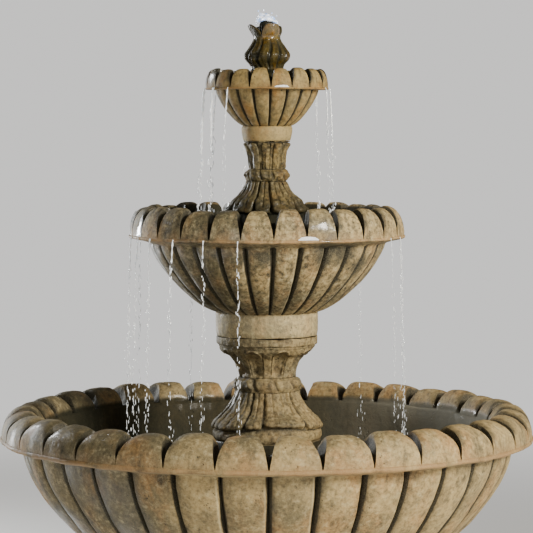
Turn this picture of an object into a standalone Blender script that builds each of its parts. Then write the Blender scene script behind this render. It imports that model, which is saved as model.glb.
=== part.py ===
"""Three-tier cast-stone garden fountain: castings, pump, plumbing and cord.

Metres, +Z up. The origin is the centre of the pedestal's foot on the ground, and the front is -Y.
Each tier is a casting that stands on the one below it. The pump stands on the basin floor inside a
hollow riser, and its tube climbs through the columns to the nozzle in the finial.
"""

import math
from dataclasses import dataclass

import bmesh
import bpy
from mathutils import Matrix, Vector

# ---------------------------------------------------------------- driving dimensions

BEAD_Z = 0.740  # the basin's widest line, and the datum for every height in the tiers above
GAP = 0.0003  # clearance between neighbouring pieces
SAMPLES = 4  # points round one lobe or one flute

PEDESTAL_TOP = 0.377
BASIN_FOOT = 0.380
BASIN_FLOOR = BEAD_Z - 0.310
RISER_R = 0.134
RISER_BORE = 0.108
MIDDLE_FOOT = BEAD_Z + 0.2582
MIDDLE_FLOOR = BEAD_Z + 0.345
TOP_FOOT = BEAD_Z + 0.7400
TOP_FLOOR = BEAD_Z + 0.802
LOWER_COLUMN_TOP = BEAD_Z + 0.2562
UPPER_COLUMN_TOP = BEAD_Z + 0.7385

TUBE_R = 0.0096
TUBE_BORE = 0.0066
BARB_R = 0.0062
WATERWAY_R = 0.0042
SHANK_R = 0.0108
SHANK_HOLE_R = 0.0125
FLANGE_R = 0.019
GASKET = 0.0027
NOZZLE_R = 0.0065
NOZZLE_BORE = 0.0050
NOZZLE_TOP = BEAD_Z + 1.037
FINIAL_TURN = 19  # angle from the front to the middle of the nearest petal, degrees

DRAIN_Y = 0.072
DRAIN_R = 0.018
CORD_R = 0.0035

PUMP_X = 0.007  # puts the pump's outlet on the fountain's axis
PUMP_AXIS_Z = BASIN_FLOOR + 0.046
PUMP_HALF_Y = 0.031
PUMP_LOW = BASIN_FLOOR + 0.010
PUMP_HIGH = BASIN_FLOOR + 0.078
VOLUTE_BACK = PUMP_X - 0.0157
VOLUTE_FRONT = PUMP_X + 0.0145
COVER_FRONT = PUMP_X + 0.048
PUMP_BACK = PUMP_X - 0.076
SPOUT_TOP = BASIN_FLOOR + 0.092


@dataclass
class Bowl:
    """One scalloped basin. Heights are above BEAD_Z, and radii are from the fountain's axis."""

    lobes: int
    turn: float  # angle from the front to the nearest notch, degrees
    bead_r: float
    bead: float
    bead_h: float
    crest_r: float
    crest: float
    ledge_r: float
    ledge: float
    lip_r: float
    lip: float
    foot_r: float
    foot: float
    fullness: float  # power of the superellipse from the foot to the lip
    groove: float  # depth of the grooves between the flutes under the rim
    rings: int  # rows of vertices down the flutes
    wall: float


BOTTOM = Bowl(lobes=34, turn=0.4, bead_r=0.660, bead=0.000, bead_h=0.012,
              crest_r=0.592, crest=0.083, ledge_r=0.560, ledge=0.040, lip_r=0.607, lip=-0.012,
              foot_r=0.260, foot=-0.345, fullness=1.5, groove=0.012, rings=4, wall=0.045)
MIDDLE = Bowl(lobes=27, turn=2.8, bead_r=0.341, bead=0.5005, bead_h=0.0085,
              crest_r=0.297, crest=0.579, ledge_r=0.276, ledge=0.548, lip_r=0.290, lip=0.4860,
              foot_r=0.1297, foot=0.318, fullness=1.35, groove=0.007, rings=3, wall=0.028)
TOP = Bowl(lobes=18, turn=3.8, bead_r=0.152, bead=0.8655, bead_h=0.0045,
           crest_r=0.130, crest=0.916, ledge_r=0.118, ledge=0.896, lip_r=0.1260, lip=0.8645,
           foot_r=0.0600, foot=0.776, fullness=1.35, groove=0.0035, rings=2, wall=0.016)


# ---------------------------------------------------------------- materials

def material(name, colour, roughness, metallic=0.0):
    found = bpy.data.materials.get(name)
    if found:
        return found
    made = bpy.data.materials.new(name)
    made.use_nodes = True
    shader = made.node_tree.nodes["Principled BSDF"]
    shader.inputs["Base Color"].default_value = (*colour, 1.0)
    shader.inputs["Roughness"].default_value = roughness
    shader.inputs["Metallic"].default_value = metallic
    return made


def cast_stone():
    return material("cast_stone", (0.26, 0.18, 0.10), 0.55)


def wet_stone():
    return material("wet_stone", (0.12, 0.075, 0.035), 0.3)


def brass():
    return material("brass", (0.72, 0.50, 0.20), 0.3, 1.0)


def copper():
    return material("copper", (0.68, 0.33, 0.20), 0.35, 1.0)


def steel():
    return material("steel", (0.60, 0.60, 0.58), 0.35, 1.0)


def rubber():
    return material("rubber", (0.035, 0.035, 0.035), 0.8)


def pump_plastic():
    return material("pump_plastic", (0.025, 0.026, 0.028), 0.55)


def dial_plastic():
    return material("dial_plastic", (0.55, 0.16, 0.02), 0.5)


def impeller_plastic():
    return material("impeller_plastic", (0.30, 0.32, 0.33), 0.5)


def ceramic_rod():
    return material("ceramic_rod", (0.80, 0.80, 0.76), 0.35)


def clear_vinyl():
    return material("clear_vinyl", (0.62, 0.66, 0.66), 0.25)


def cord_jacket():
    return material("cord_jacket", (0.030, 0.030, 0.030), 0.6)


# ---------------------------------------------------------------- mesh helpers

def add_object(name, bm, shade, smooth_angle=math.radians(35)):
    """Closes the bmesh into an object with outward faces and its material."""
    bmesh.ops.recalc_face_normals(bm, faces=bm.faces)
    mesh = bpy.data.meshes.new(name)
    bm.to_mesh(mesh)
    bm.free()
    mesh.materials.append(shade)
    mesh.shade_smooth()
    mesh.set_sharp_from_angle(angle=smooth_angle)
    thing = bpy.data.objects.new(name, mesh)
    bpy.context.scene.collection.objects.link(thing)
    return thing


def ring(bm, count, place):
    """A ring of count vertices. place(angle) gives (radius, height); angle 0 is the front, -Y."""
    made = []
    for i in range(count):
        angle = 2 * math.pi * i / count
        radius, height = place(angle)
        made.append(bm.verts.new((radius * math.sin(angle), -radius * math.cos(angle), height)))
    return made


def bridge(bm, a, b):
    """Joins two rings, one of which may have a whole number of times as many vertices."""
    if len(a) < len(b):
        a, b = b, a
    share = len(a) // len(b)
    half = share // 2
    for i, corner in enumerate(b):
        following = b[(i + 1) % len(b)]
        if share == 1:
            bm.faces.new((corner, following, a[(i + 1) % len(a)], a[i]))
            continue
        for k in range(share):
            near = corner if k < half else following
            bm.faces.new((a[(share * i + k + 1) % len(a)], a[share * i + k], near))
        bm.faces.new((corner, following, a[(share * i + half) % len(a)]))


def loft(bm, rings, closed=True):
    """Bridges each ring to the next. A closed loft joins the last to the first; else both ends are capped."""
    for a, b in zip(rings, rings[1:]):
        bridge(bm, a, b)
    if closed:
        bridge(bm, rings[-1], rings[0])
    else:
        bm.faces.new(rings[0])
        bm.faces.new(rings[-1])


def turned(name, outline, segments, shade, axis_origin=(0, 0, 0)):
    """Revolves a closed outline of (radius, height) points. A point at radius 0 becomes a pole."""
    bm = bmesh.new()
    rows = []
    for radius, height in outline:
        if radius == 0:
            rows.append([bm.verts.new((0, 0, height))])
        else:
            rows.append(ring(bm, segments, lambda angle, r=radius, h=height: (r, h)))
    for a, b in zip(rows, rows[1:] + rows[:1]):
        if len(a) == 1 and len(b) == 1:
            continue
        if len(a) == 1 or len(b) == 1:
            pole, around = (a[0], b) if len(a) == 1 else (b[0], a)
            for i, v in enumerate(around):
                bm.faces.new((v, around[(i + 1) % len(around)], pole))
        else:
            bridge(bm, a, b)
    thing = add_object(name, bm, shade)
    thing.location = axis_origin
    return thing


def box(name, low, high, shade, bevel=0.0, segments=1):
    """A box between two corners with its origin at its centre and its edges rounded by bevel."""
    low, high = Vector(low), Vector(high)
    size = high - low
    bm = bmesh.new()
    bmesh.ops.create_cube(bm, size=1.0, matrix=Matrix.Diagonal((*size, 1.0)))
    if bevel:
        bmesh.ops.bevel(bm, geom=bm.edges[:], offset=bevel, segments=segments,
                        affect="EDGES", profile=0.5)
    thing = add_object(name, bm, shade)
    thing.location = (low + high) / 2
    return thing


def cutter(thing):
    thing.hide_render = True
    thing.display_type = "WIRE"
    return thing


def boolean(thing, tool, operation="DIFFERENCE"):
    change = thing.modifiers.new(operation.lower(), "BOOLEAN")
    change.operation = operation
    change.solver = "EXACT"
    change.object = cutter(tool)


def rod_tool(name, start, length, radius, along="X", segments=16):
    """A plain cylinder from start along +X, +Y or +Z, for cutting or joining."""
    outline = [(0, 0), (radius, 0), (radius, length), (0, length)]
    tool = turned(name, outline, segments, steel(), start)
    if along == "X":
        tool.rotation_euler = (0, math.pi / 2, 0)
    elif along == "Y":
        tool.rotation_euler = (-math.pi / 2, 0, 0)
    return tool


def sweep(name, points, radius, shade, segments=6):
    """A round cord along a path, its frame carried along without twist."""
    bm = bmesh.new()
    side = Vector((1, 0, 0))
    rows = []
    for i, point in enumerate(points):
        ahead = points[min(i + 1, len(points) - 1)] - points[max(i - 1, 0)]
        tangent = ahead.normalized()
        side = (side - tangent * side.dot(tangent)).normalized()
        up = tangent.cross(side)
        row = []
        for k in range(segments):
            angle = 2 * math.pi * k / segments
            offset = side * math.cos(angle) + up * math.sin(angle)
            row.append(bm.verts.new(point + offset * radius))
        rows.append(row)
    loft(bm, rows, closed=False)
    return add_object(name, bm, shade)


def flowing(points, steps):
    """Catmull-Rom curve through the points, with the same number of steps between each pair."""
    ends = [points[0] * 2 - points[1], *points, points[-1] * 2 - points[-2]]
    out = []
    for a, b, c, d in zip(ends, ends[1:], ends[2:], ends[3:]):
        for k in range(steps):
            t = k / steps
            out.append(0.5 * (2 * b + (c - a) * t + (2 * a - 5 * b + 4 * c - d) * t * t
                              + (3 * b - a - 3 * c + d) * t ** 3))
    return out + [points[-1]]


# ---------------------------------------------------------------- bowls

def superellipse(a, power):
    """Quarter curve from (0, 1) at a = 0 to (1, 0) at a = 90 degrees."""
    return math.sin(a) ** (2 / power), math.cos(a) ** (2 / power)


def from_notch(angle, bowl):
    """0 in the notch between two lobes, 1 at a lobe's middle. A notch faces the front."""
    phase = angle * bowl.lobes / (2 * math.pi)
    return 1 - abs(2 * (phase % 1.0) - 1)


def underside(bowl, share):
    """Radius and height of the bowl's outside, share 0 at the foot and 1 under the lip."""
    out, down = superellipse(share * math.pi / 2, bowl.fullness)
    radius = bowl.foot_r + (bowl.lip_r - bowl.foot_r) * out
    height = bowl.lip - (bowl.lip - bowl.foot) * down
    return radius, height


def underside_ring(bm, bowl, share):
    radius, height = underside(bowl, share)
    return ring(bm, SAMPLES * bowl.lobes, lambda angle: (
        radius - bowl.groove * (1 - min(1.0, 2 * from_notch(angle, bowl))), BEAD_Z + height))


def lobe_ring(bm, bowl, share):
    """Share 0 is the bead, 1 the crest and 2 the ledge inside the rim."""
    top = bowl.bead + bowl.bead_h
    if share <= 1:
        up, out = superellipse(share * math.pi / 2, 2.3)
        full = (bowl.crest_r + (bowl.bead_r - bowl.crest_r) * out, top + (bowl.crest - top) * up)
    else:
        inward, down = superellipse((share - 1) * math.pi / 2, 2.0)
        full = (bowl.crest_r - (bowl.crest_r - bowl.ledge_r) * inward,
                bowl.ledge + (bowl.crest - bowl.ledge) * down)
    sill_r = bowl.bead_r + (bowl.ledge_r - bowl.bead_r) * (share / 2)
    sill = top + (bowl.ledge - top) * (share / 2)

    def place(angle):
        lobe = min(1.0, 1.94 * from_notch(angle, bowl))
        return sill_r + (full[0] - sill_r) * lobe, BEAD_Z + sill + (full[1] - sill) * lobe

    return ring(bm, SAMPLES * bowl.lobes, place)


def bowl_rings(bm, bowl, floor_z):
    """The outside from the foot up over the rim, then the inside down to the floor."""
    plain = bowl.lobes
    rows = [ring(bm, plain, lambda angle: (bowl.foot_r, BEAD_Z + bowl.foot))]
    rows += [underside_ring(bm, bowl, (k + 1) / bowl.rings) for k in range(bowl.rings)]
    fine = SAMPLES * bowl.lobes
    low = BEAD_Z + bowl.bead
    rows.append(ring(bm, fine, lambda angle: (bowl.bead_r - 0.5 * bowl.bead_h, low)))
    rows.append(ring(bm, fine, lambda angle: (bowl.bead_r, low + 0.5 * bowl.bead_h)))
    rows += [lobe_ring(bm, bowl, share) for share in (0.0, 0.5, 1.0, 2.0)]
    floor_h = floor_z - BEAD_Z
    depth = (bowl.ledge - floor_h) * 0.97
    for share in (0.8, 0.55, 0.25):
        radius, height = underside(bowl, share)
        inner_h = floor_h + depth * (height - bowl.foot) / (bowl.lip - bowl.foot) * 0.9
        rows.append(ring(bm, plain, lambda angle, r=radius - bowl.wall, h=inner_h: (r, BEAD_Z + h)))
    rows.append(ring(bm, plain, lambda angle: (bowl.foot_r - 0.3 * bowl.wall, floor_z)))
    return rows


def turn_bowl(thing, bowl):
    """Turns the casting so that its notches stand where the tier above wants them."""
    thing.rotation_euler = (0, 0, math.radians(bowl.turn))


def bottom_bowl():
    """The basin: a hub that fits over the pedestal's spigot, and a drain hole behind the pump."""
    bm = bmesh.new()
    plain = BOTTOM.lobes
    recess = [(0.130, BASIN_FOOT + 0.012), (0.130, BASIN_FOOT), (0.250, BASIN_FOOT)]
    rows = [ring(bm, plain, lambda angle, p=p: p) for p in recess]
    rows += bowl_rings(bm, BOTTOM, BASIN_FLOOR)
    loft(bm, rows, closed=False)
    thing = add_object("bottom_bowl", bm, cast_stone())
    turn_bowl(thing, BOTTOM)
    boolean(thing, rod_tool("drain_hole_tool", (0, DRAIN_Y, BASIN_FOOT - 0.02), 0.1,
                            DRAIN_R, "Z", 24))


def tier_bowl(name, bowl, foot_z, floor_z, foot_ring, recess_r):
    """A bowl on a plain foot ring whose recess drops over the column's spigot.

    foot_ring holds the ring's radius at its foot, then its (radius, height above BEAD_Z) points.
    """
    bm = bmesh.new()
    ceiling = BEAD_Z + bowl.foot - 0.002
    plain = bowl.lobes
    foot = [(SHANK_HOLE_R, ceiling), (recess_r, ceiling), (recess_r, foot_z), (foot_ring[0], foot_z)]
    foot += [(radius, BEAD_Z + height) for radius, height in foot_ring[1:]]
    rows = [ring(bm, plain, lambda angle, p=p: p) for p in foot]
    rows += bowl_rings(bm, bowl, floor_z)
    rows.append(ring(bm, plain, lambda angle: (SHANK_HOLE_R, floor_z)))
    loft(bm, rows)
    thing = add_object(name, bm, cast_stone())
    turn_bowl(thing, bowl)


# ---------------------------------------------------------------- columns, pedestal, riser, finial

def fluted(name, outline, inside, flutes, shade, samples):
    """Turned casting. outline holds (radius, height, flute depth); inside is the bore, top to bottom."""
    bm = bmesh.new()
    count = flutes * samples
    rows = []
    for radius, height, depth in outline:
        rows.append(ring(bm, count, lambda angle, r=radius, h=height, d=depth: (
            r - d * 0.5 * (1 - math.cos(flutes * angle)), h)))
    rows += [ring(bm, count // 2, lambda angle, p=p: p) for p in inside]
    loft(bm, rows)
    return add_object(name, bm, shade)


def bottom_pedestal():
    outline = [
        (0.270, 0.000, 0), (0.270, 0.042, 0), (0.256, 0.056, 0.010), (0.206, 0.092, 0.016),
        (0.172, 0.140, 0.014), (0.158, 0.196, 0.010), (0.176, 0.212, 0), (0.176, 0.236, 0),
        (0.158, 0.252, 0.010), (0.172, 0.304, 0.012), (0.214, 0.344, 0.014), (0.240, 0.354, 0),
        (0.240, PEDESTAL_TOP, 0), (0.126, PEDESTAL_TOP, 0), (0.126, PEDESTAL_TOP + 0.008, 0),
    ]
    inside = [(0.100, PEDESTAL_TOP + 0.008), (0.112, 0.26), (0.112, 0.14), (0.150, 0.06), (0.150, 0)]
    thing = fluted("bottom_pedestal", outline, inside, 12, cast_stone(), samples=2)
    notch = box("cord_notch_tool", (-0.028, 0.10, -0.02), (0.028, 0.32, 0.030), steel())
    boolean(thing, notch)


def basin_riser():
    """Hollow drum that hides the pump and carries the lower column. Water enters by its ports."""
    low = BASIN_FLOOR + GAP
    high = BEAD_Z - GAP
    outline = [(RISER_R, low), (RISER_R, high), (RISER_BORE, high), (RISER_BORE, low)]
    thing = turned("basin_riser", outline, 48, cast_stone())
    for side in range(2):
        tool = box(f"riser_port_tool_{side + 1}", (-0.2, -0.024, low - 0.02),
                   (0.2, 0.024, low + 0.045), steel())
        tool.rotation_euler = (0, 0, math.radians(45 + 90 * side))
        tool.location.z = low + 0.0125
        boolean(thing, tool)


def lower_column():
    z = BEAD_Z
    outline = [
        (0.1060, z - 0.012, 0), (0.1060, z, 0), (0.1364, z, 0), (0.1364, z + 0.0175, 0),
        (0.1370, z + 0.0290, 0.006), (0.1150, z + 0.0600, 0.012), (0.0883, z + 0.0950, 0.010),
        (0.0790, z + 0.1180, 0.004), (0.0850, z + 0.1260, 0), (0.0850, z + 0.1380, 0),
        (0.0690, z + 0.1560, 0.006), (0.0730, z + 0.1800, 0.009), (0.0880, z + 0.2050, 0.010),
        (0.1140, z + 0.2190, 0.006), (0.1180, z + 0.2350, 0), (0.1238, z + 0.2410, 0),
        (0.1238, LOWER_COLUMN_TOP, 0), (0.0560, LOWER_COLUMN_TOP, 0),
        (0.0560, LOWER_COLUMN_TOP + 0.010, 0),
    ]
    inside = [(0.045, LOWER_COLUMN_TOP + 0.010), (0.045, z + 0.12), (0.096, z + 0.03), (0.096, z - 0.012)]
    fluted("lower_column", outline, inside, 8, cast_stone(), samples=3)


def upper_column():
    z = BEAD_Z
    outline = [
        (0.0880, MIDDLE_FLOOR + GAP, 0), (0.0880, z + 0.562, 0), (0.0947, z + 0.5705, 0.003),
        (0.0905, z + 0.5860, 0.006), (0.0660, z + 0.6100, 0.006), (0.0500, z + 0.6340, 0.004),
        (0.0565, z + 0.6480, 0), (0.0565, z + 0.6600, 0), (0.0458, z + 0.6700, 0.003),
        (0.0482, z + 0.7020, 0.004), (0.0550, z + 0.7220, 0.005), (0.0606, z + 0.7310, 0.003),
        (0.0570, UPPER_COLUMN_TOP, 0), (0.0360, UPPER_COLUMN_TOP, 0),
        (0.0360, UPPER_COLUMN_TOP + 0.008, 0),
    ]
    inside = [(0.026, UPPER_COLUMN_TOP + 0.008), (0.026, z + 0.60), (0.062, z + 0.50),
              (0.062, MIDDLE_FLOOR + GAP)]
    fluted("upper_column", outline, inside, 10, cast_stone(), samples=3)


def finial():
    """Bud urn on a stem, with petals that curl out round its mouth and an inner bud at the nozzle."""
    z = BEAD_Z
    low = TOP_FLOOR + GAP
    outline = [
        (0.0360, low, 0), (0.0360, z + 0.905, 0), (0.0407, z + 0.921, 0.002),
        (0.0518, z + 0.937, 0.004), (0.0548, z + 0.947, 0.005), (0.0525, z + 0.958, 0.005),
        (0.0380, z + 0.979, 0.004), (0.0335, z + 0.990, 0.003), (0.0364, z + 1.005, 0.004),
        (0.0390, z + 1.020, 0.006), (0.0330, z + 1.021, 0.004), (0.0260, z + 1.004, 0),
        (0.0190, z + 1.004, 0), (0.0170, z + 1.030, 0.002),
    ]
    inside = [(0.009, z + 1.030), (0.009, low + 0.020), (0.024, low + 0.014), (0.024, low)]
    thing = fluted("finial", outline, inside, 4, wet_stone(), samples=6)
    thing.rotation_euler = (0, 0, math.radians(FINIAL_TURN))


def bedding_ring(name, inner, outer, low, high):
    outline = [(inner, low + GAP), (outer, low + GAP), (outer, high - GAP), (inner, high - GAP)]
    turned(name, outline, 24, rubber())


# ---------------------------------------------------------------- plumbing

def barbed_tail(low, high, pointing_up):
    """A barbed tail between two heights, as outline points from its root to its tip."""
    teeth = 2
    depth, lead = 0.0008, 0.0004
    root, way = (low, 1) if pointing_up else (high, -1)
    pitch = way * (high - low) / teeth
    points = []
    for k in range(teeth):
        start = root + k * pitch
        points += [(BARB_R - depth, start), (BARB_R, start + way * lead), (BARB_R - depth, start + pitch)]
    return points


def pump_hose_barb():
    low = SPOUT_TOP + GAP
    outline = [(WATERWAY_R, low - 0.008), (BARB_R - 0.0002, low - 0.008), (BARB_R - 0.0002, low),
               (0.0125, low), (0.0125, low + 0.005)]
    outline += barbed_tail(low + 0.0052, low + 0.026, True)
    outline.append((WATERWAY_R, low + 0.026))
    turned("pump_hose_barb", outline, 16, brass())


def tube(name, low, high):
    outline = [(TUBE_BORE, low), (TUBE_R, low), (TUBE_R, high), (TUBE_BORE, high)]
    turned(name, outline, 16, clear_vinyl())


def hose_clamp(name, low):
    """Band clamp with its worm housing on the -X side."""
    inner = TUBE_R + GAP
    outer = inner + 0.0010
    outline = [(inner, low), (outer, low), (outer, low + 0.009), (inner, low + 0.009)]
    thing = turned(name, outline, 24, steel())
    housing = box(name + "_housing_tool", (-outer - 0.006, -0.006, low + 0.0008),
                  (-outer + 0.0004, 0.006, low + 0.0082), steel())
    boolean(thing, housing, "UNION")


def bulkhead(name, floor_z, shank_low, tail_low, top_points):
    """Brass fitting through a bowl's floor: flange above, shank through the hole, barbed tail below."""
    flange_low = floor_z + GAP + GASKET + GAP
    outline = [(WATERWAY_R, tail_low)]
    outline += barbed_tail(tail_low, shank_low - 0.0002, False)[::-1]
    outline += [(SHANK_R, shank_low), (SHANK_R, flange_low), (FLANGE_R, flange_low),
                (FLANGE_R, flange_low + 0.005)]
    outline += top_points(flange_low + 0.0052)
    turned(name, outline, 12, brass())


def gasket(name, floor_z):
    low = floor_z + GAP
    high = low + GASKET
    outline = [(SHANK_R + GAP, low), (FLANGE_R, low), (FLANGE_R, high), (SHANK_R + GAP, high)]
    turned(name, outline, 24, rubber())


def lock_nut(name, ceiling):
    """Hexagon nut under a bowl's floor."""
    high = ceiling - GAP
    low = high - 0.008
    hexagon = 0.0175
    bm = bmesh.new()
    rows = [ring(bm, 24, lambda angle: (SHANK_R + GAP, low)), ring(bm, 6, lambda angle: (hexagon, low)),
            ring(bm, 6, lambda angle: (hexagon, high)), ring(bm, 24, lambda angle: (SHANK_R + GAP, high))]
    loft(bm, rows)
    add_object(name, bm, brass())


def barbed_top(low):
    return barbed_tail(low, low + 0.022, True) + [(WATERWAY_R, low + 0.022)]


def spigot_top(low):
    spigot = NOZZLE_BORE - GAP
    return [(spigot, low), (spigot, low + 0.010), (WATERWAY_R, low + 0.010)]


def finial_nozzle():
    """Copper pipe from the top bowl's fitting to the finial's mouth, belled at its tip."""
    low = TOP_FLOOR + 2 * GAP + GASKET + 0.0055
    middle = (low + NOZZLE_TOP) / 2
    bell = 0.004
    flare = 0.0018
    outline = [(NOZZLE_BORE, low), (NOZZLE_R, low), (NOZZLE_R, middle), (NOZZLE_R, NOZZLE_TOP - bell),
               (NOZZLE_R + flare, NOZZLE_TOP), (NOZZLE_BORE + flare, NOZZLE_TOP),
               (NOZZLE_BORE, NOZZLE_TOP - bell), (NOZZLE_BORE, middle)]
    turned("finial_nozzle", outline, 16, copper())


# ---------------------------------------------------------------- pump

def stepped_tool(name, x_low, x_step, x_high, low_r, high_r, segments=24):
    """Cutter along +X on the pump's axis whose radius changes at x_step."""
    outline = [(0, 0), (low_r, 0), (low_r, x_step - x_low), (high_r, x_step - x_low),
               (high_r, x_high - x_low), (0, x_high - x_low)]
    tool = turned(name, outline, segments, steel(), (x_low, 0, PUMP_AXIS_Z))
    tool.rotation_euler = (0, math.pi / 2, 0)
    return tool


def pump_body():
    """Motor case with the rotor's well open towards the volute and a pocket for the rear bush."""
    thing = box("pump_body", (PUMP_BACK, -PUMP_HALF_Y, PUMP_LOW),
                (VOLUTE_BACK - GAP, PUMP_HALF_Y, PUMP_HIGH), pump_plastic(), 0.006, 2)
    boolean(thing, stepped_tool("rotor_well_tool", PUMP_X - 0.062, PUMP_X - 0.056, PUMP_X, 0.0052, 0.0135))


def pump_volute():
    """Chamber round the impeller, with inlet holes in front and an outlet spout on top."""
    thing = box("pump_volute", (VOLUTE_BACK, -0.029, PUMP_LOW + 0.002),
                (VOLUTE_FRONT, 0.029, PUMP_HIGH - 0.002), pump_plastic(), 0.004, 1)
    boolean(thing, stepped_tool("chamber_tool", VOLUTE_BACK - 0.01, PUMP_X + 0.002, PUMP_X + 0.008,
                                0.0215, 0.0052))
    for k in range(4):
        angle = math.radians(45 + 90 * k)
        start = (PUMP_X - 0.002, 0.0130 * math.cos(angle), PUMP_AXIS_Z + 0.0130 * math.sin(angle))
        boolean(thing, rod_tool(f"inlet_tool_{k + 1}", start, 0.03, 0.0045, "X", 12))
    low = PUMP_HIGH - 0.010
    boolean(thing, rod_tool("spout_tool", (0, 0, low), SPOUT_TOP - low, 0.0083, "Z"), "UNION")
    boolean(thing, rod_tool("outlet_tool", (0, 0, PUMP_AXIS_Z + 0.012), 0.06, 0.0065, "Z"))


def shaft_bush(name, x_low):
    """Rubber cup that holds one end of the ceramic shaft."""
    toward = 1 if x_low < PUMP_X else -1
    outer, inner = 0.0049, 0.0028
    outline = [(0, 0), (outer, 0), (outer, 0.005), (inner, 0.005), (inner, 0.0015), (0, 0.0015)]
    bush = turned(name, outline, 12, rubber(), (x_low, 0, PUMP_AXIS_Z))
    bush.rotation_euler = (0, toward * math.pi / 2, 0)


def impeller_shaft():
    start = PUMP_X - 0.0600
    length = 0.0660
    outline = [(0, 0), (0.0025, 0), (0.0025, length), (0, length)]
    shaft = turned("impeller_shaft", outline, 12, ceramic_rod(), (start, 0, PUMP_AXIS_Z))
    shaft.rotation_euler = (0, math.pi / 2, 0)


def pump_impeller():
    """Magnet rotor with a vaned disc in front of it. Its origin is on the shaft's axis."""
    bore = 0.00258 / math.cos(math.pi / 24)
    disc = 0.0190
    back = -0.054
    outline = [(bore, back), (0.0120, back), (0.0120, -0.018), (0.0050, -0.017), (0.0050, -0.0128),
               (disc, -0.0128), (disc, -0.0108), (0.0050, -0.0108), (0.0050, -0.0030), (bore, -0.0030)]
    thing = turned("pump_impeller", outline, 24, impeller_plastic(), (PUMP_X, 0, PUMP_AXIS_Z))
    thing.rotation_euler = (0, math.pi / 2, 0)
    for k in range(6):
        vane = box(f"vane_tool_{k + 1}", (-0.0115, 0, 0), (-0.0030, 0.0012, 0.0140), steel())
        turn = Matrix.Rotation(math.radians(60 * k), 4, "X")
        place = Matrix.Translation((PUMP_X, 0, PUMP_AXIS_Z)) @ turn
        vane.matrix_world = place @ Matrix.Translation((-0.00725, 0.0006, 0.0115))
        boolean(thing, vane, "UNION")


def pump_intake_cover():
    """Strainer cover with slots in its front and sides, and a hole for the dial's stem."""
    back = VOLUTE_FRONT + GAP
    thing = box("pump_intake_cover", (back, -PUMP_HALF_Y, PUMP_LOW),
                (COVER_FRONT, PUMP_HALF_Y, PUMP_HIGH), pump_plastic(), 0.004, 1)
    boolean(thing, box("cover_hollow_tool", (back - 0.01, -PUMP_HALF_Y + 0.0025, PUMP_LOW + 0.0025),
                       (COVER_FRONT - 0.0025, PUMP_HALF_Y - 0.0025, PUMP_HIGH - 0.0025), steel()))
    for side in (-1, 1):
        for k in range(3):
            y = side * (0.0155 + 0.0045 * k)
            low = (COVER_FRONT - 0.01, y - 0.001, PUMP_LOW + 0.012)
            high = (COVER_FRONT + 0.01, y + 0.001, PUMP_HIGH - 0.012)
            boolean(thing, box(f"front_slot_tool_{side + 1}_{k + 1}", low, high, steel()))
    for k in range(4):
        x = back + 0.008 + 0.006 * k
        boolean(thing, box(f"side_slot_tool_{k + 1}", (x - 0.0012, -0.05, PUMP_LOW + 0.014),
                           (x + 0.0012, 0.05, PUMP_HIGH - 0.014), steel()))
    boolean(thing, rod_tool("dial_hole_tool", (COVER_FRONT - 0.01, 0, PUMP_AXIS_Z), 0.02, 0.0038))


def pump_flow_dial():
    """Knob with a grip bar. Its stem passes through the cover's front and ends in a flow shutter."""
    front = COVER_FRONT + GAP
    inner_face = -0.0025 - 2 * GAP
    outline = [(0, -0.0055), (0.0075, -0.0055), (0.0075, inner_face), (0.0036, inner_face), (0.0036, 0),
               (0.0120, 0), (0.0120, 0.003), (0.0100, 0.004), (0, 0.004)]
    thing = turned("pump_flow_dial", outline, 24, dial_plastic(), (front, 0, PUMP_AXIS_Z))
    thing.rotation_euler = (0, math.pi / 2, 0)
    grip = box("dial_grip_tool", (front + 0.002, -0.0015, PUMP_AXIS_Z - 0.0085),
               (front + 0.009, 0.0015, PUMP_AXIS_Z + 0.0085), steel())
    boolean(thing, grip, "UNION")


def pump_feet():
    """Four rubber suction cups under the motor case."""
    high = PUMP_LOW - BASIN_FLOOR - GAP
    outline = [(0, 0.0040), (0.0070, GAP), (0.0095, GAP), (0.0045, 0.0075), (0.0045, high), (0, high)]
    spots = [(x, y) for x in (PUMP_BACK + 0.013, VOLUTE_BACK - 0.013) for y in (-0.019, 0.019)]
    for number, (x, y) in enumerate(spots, 1):
        turned(f"pump_foot_{number}", outline, 16, rubber(), (x, y, BASIN_FLOOR))


def drain_stopper():
    """Tapered rubber bung in the drain hole, bored for the cord. Its origin is on the hole's axis."""
    bore = CORD_R + 0.0005
    outline = [(bore, -0.030), (0.0168, -0.030), (0.0176, -GAP), (0.0176, GAP), (0.0240, GAP),
               (0.0240, 0.0050), (0.0200, 0.0060), (bore, 0.0060)]
    turned("drain_stopper", outline, 24, rubber(), (0, DRAIN_Y, BASIN_FLOOR))


# ---------------------------------------------------------------- cord and plug

def power_cord():
    """From the motor case up and over, straight down the drain stopper and pedestal, out of its back."""
    f = BASIN_FLOOR
    start = Vector((-0.045, PUMP_HALF_Y + GAP, f + 0.055))
    arch = [start + Vector((0, 0.004, 0)), Vector((-0.044, 0.050, f + 0.062)),
            Vector((-0.026, 0.066, f + 0.086)), Vector((-0.006, DRAIN_Y, f + 0.086)),
            Vector((0, DRAIN_Y, f + 0.062))]
    drop = [Vector((0, DRAIN_Y, f)), Vector((0, DRAIN_Y, 0.12))]
    run = [Vector((0, DRAIN_Y + 0.004, 0.070)), Vector((0, 0.108, 0.022)), Vector((0, 0.170, 0.012)),
           Vector((0, 0.330, 0.012))]
    path = [start] + flowing(arch, 4) + drop[:-1] + flowing([drop[-1]] + run, 3)
    sweep("power_cord", path, CORD_R, cord_jacket())


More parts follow.
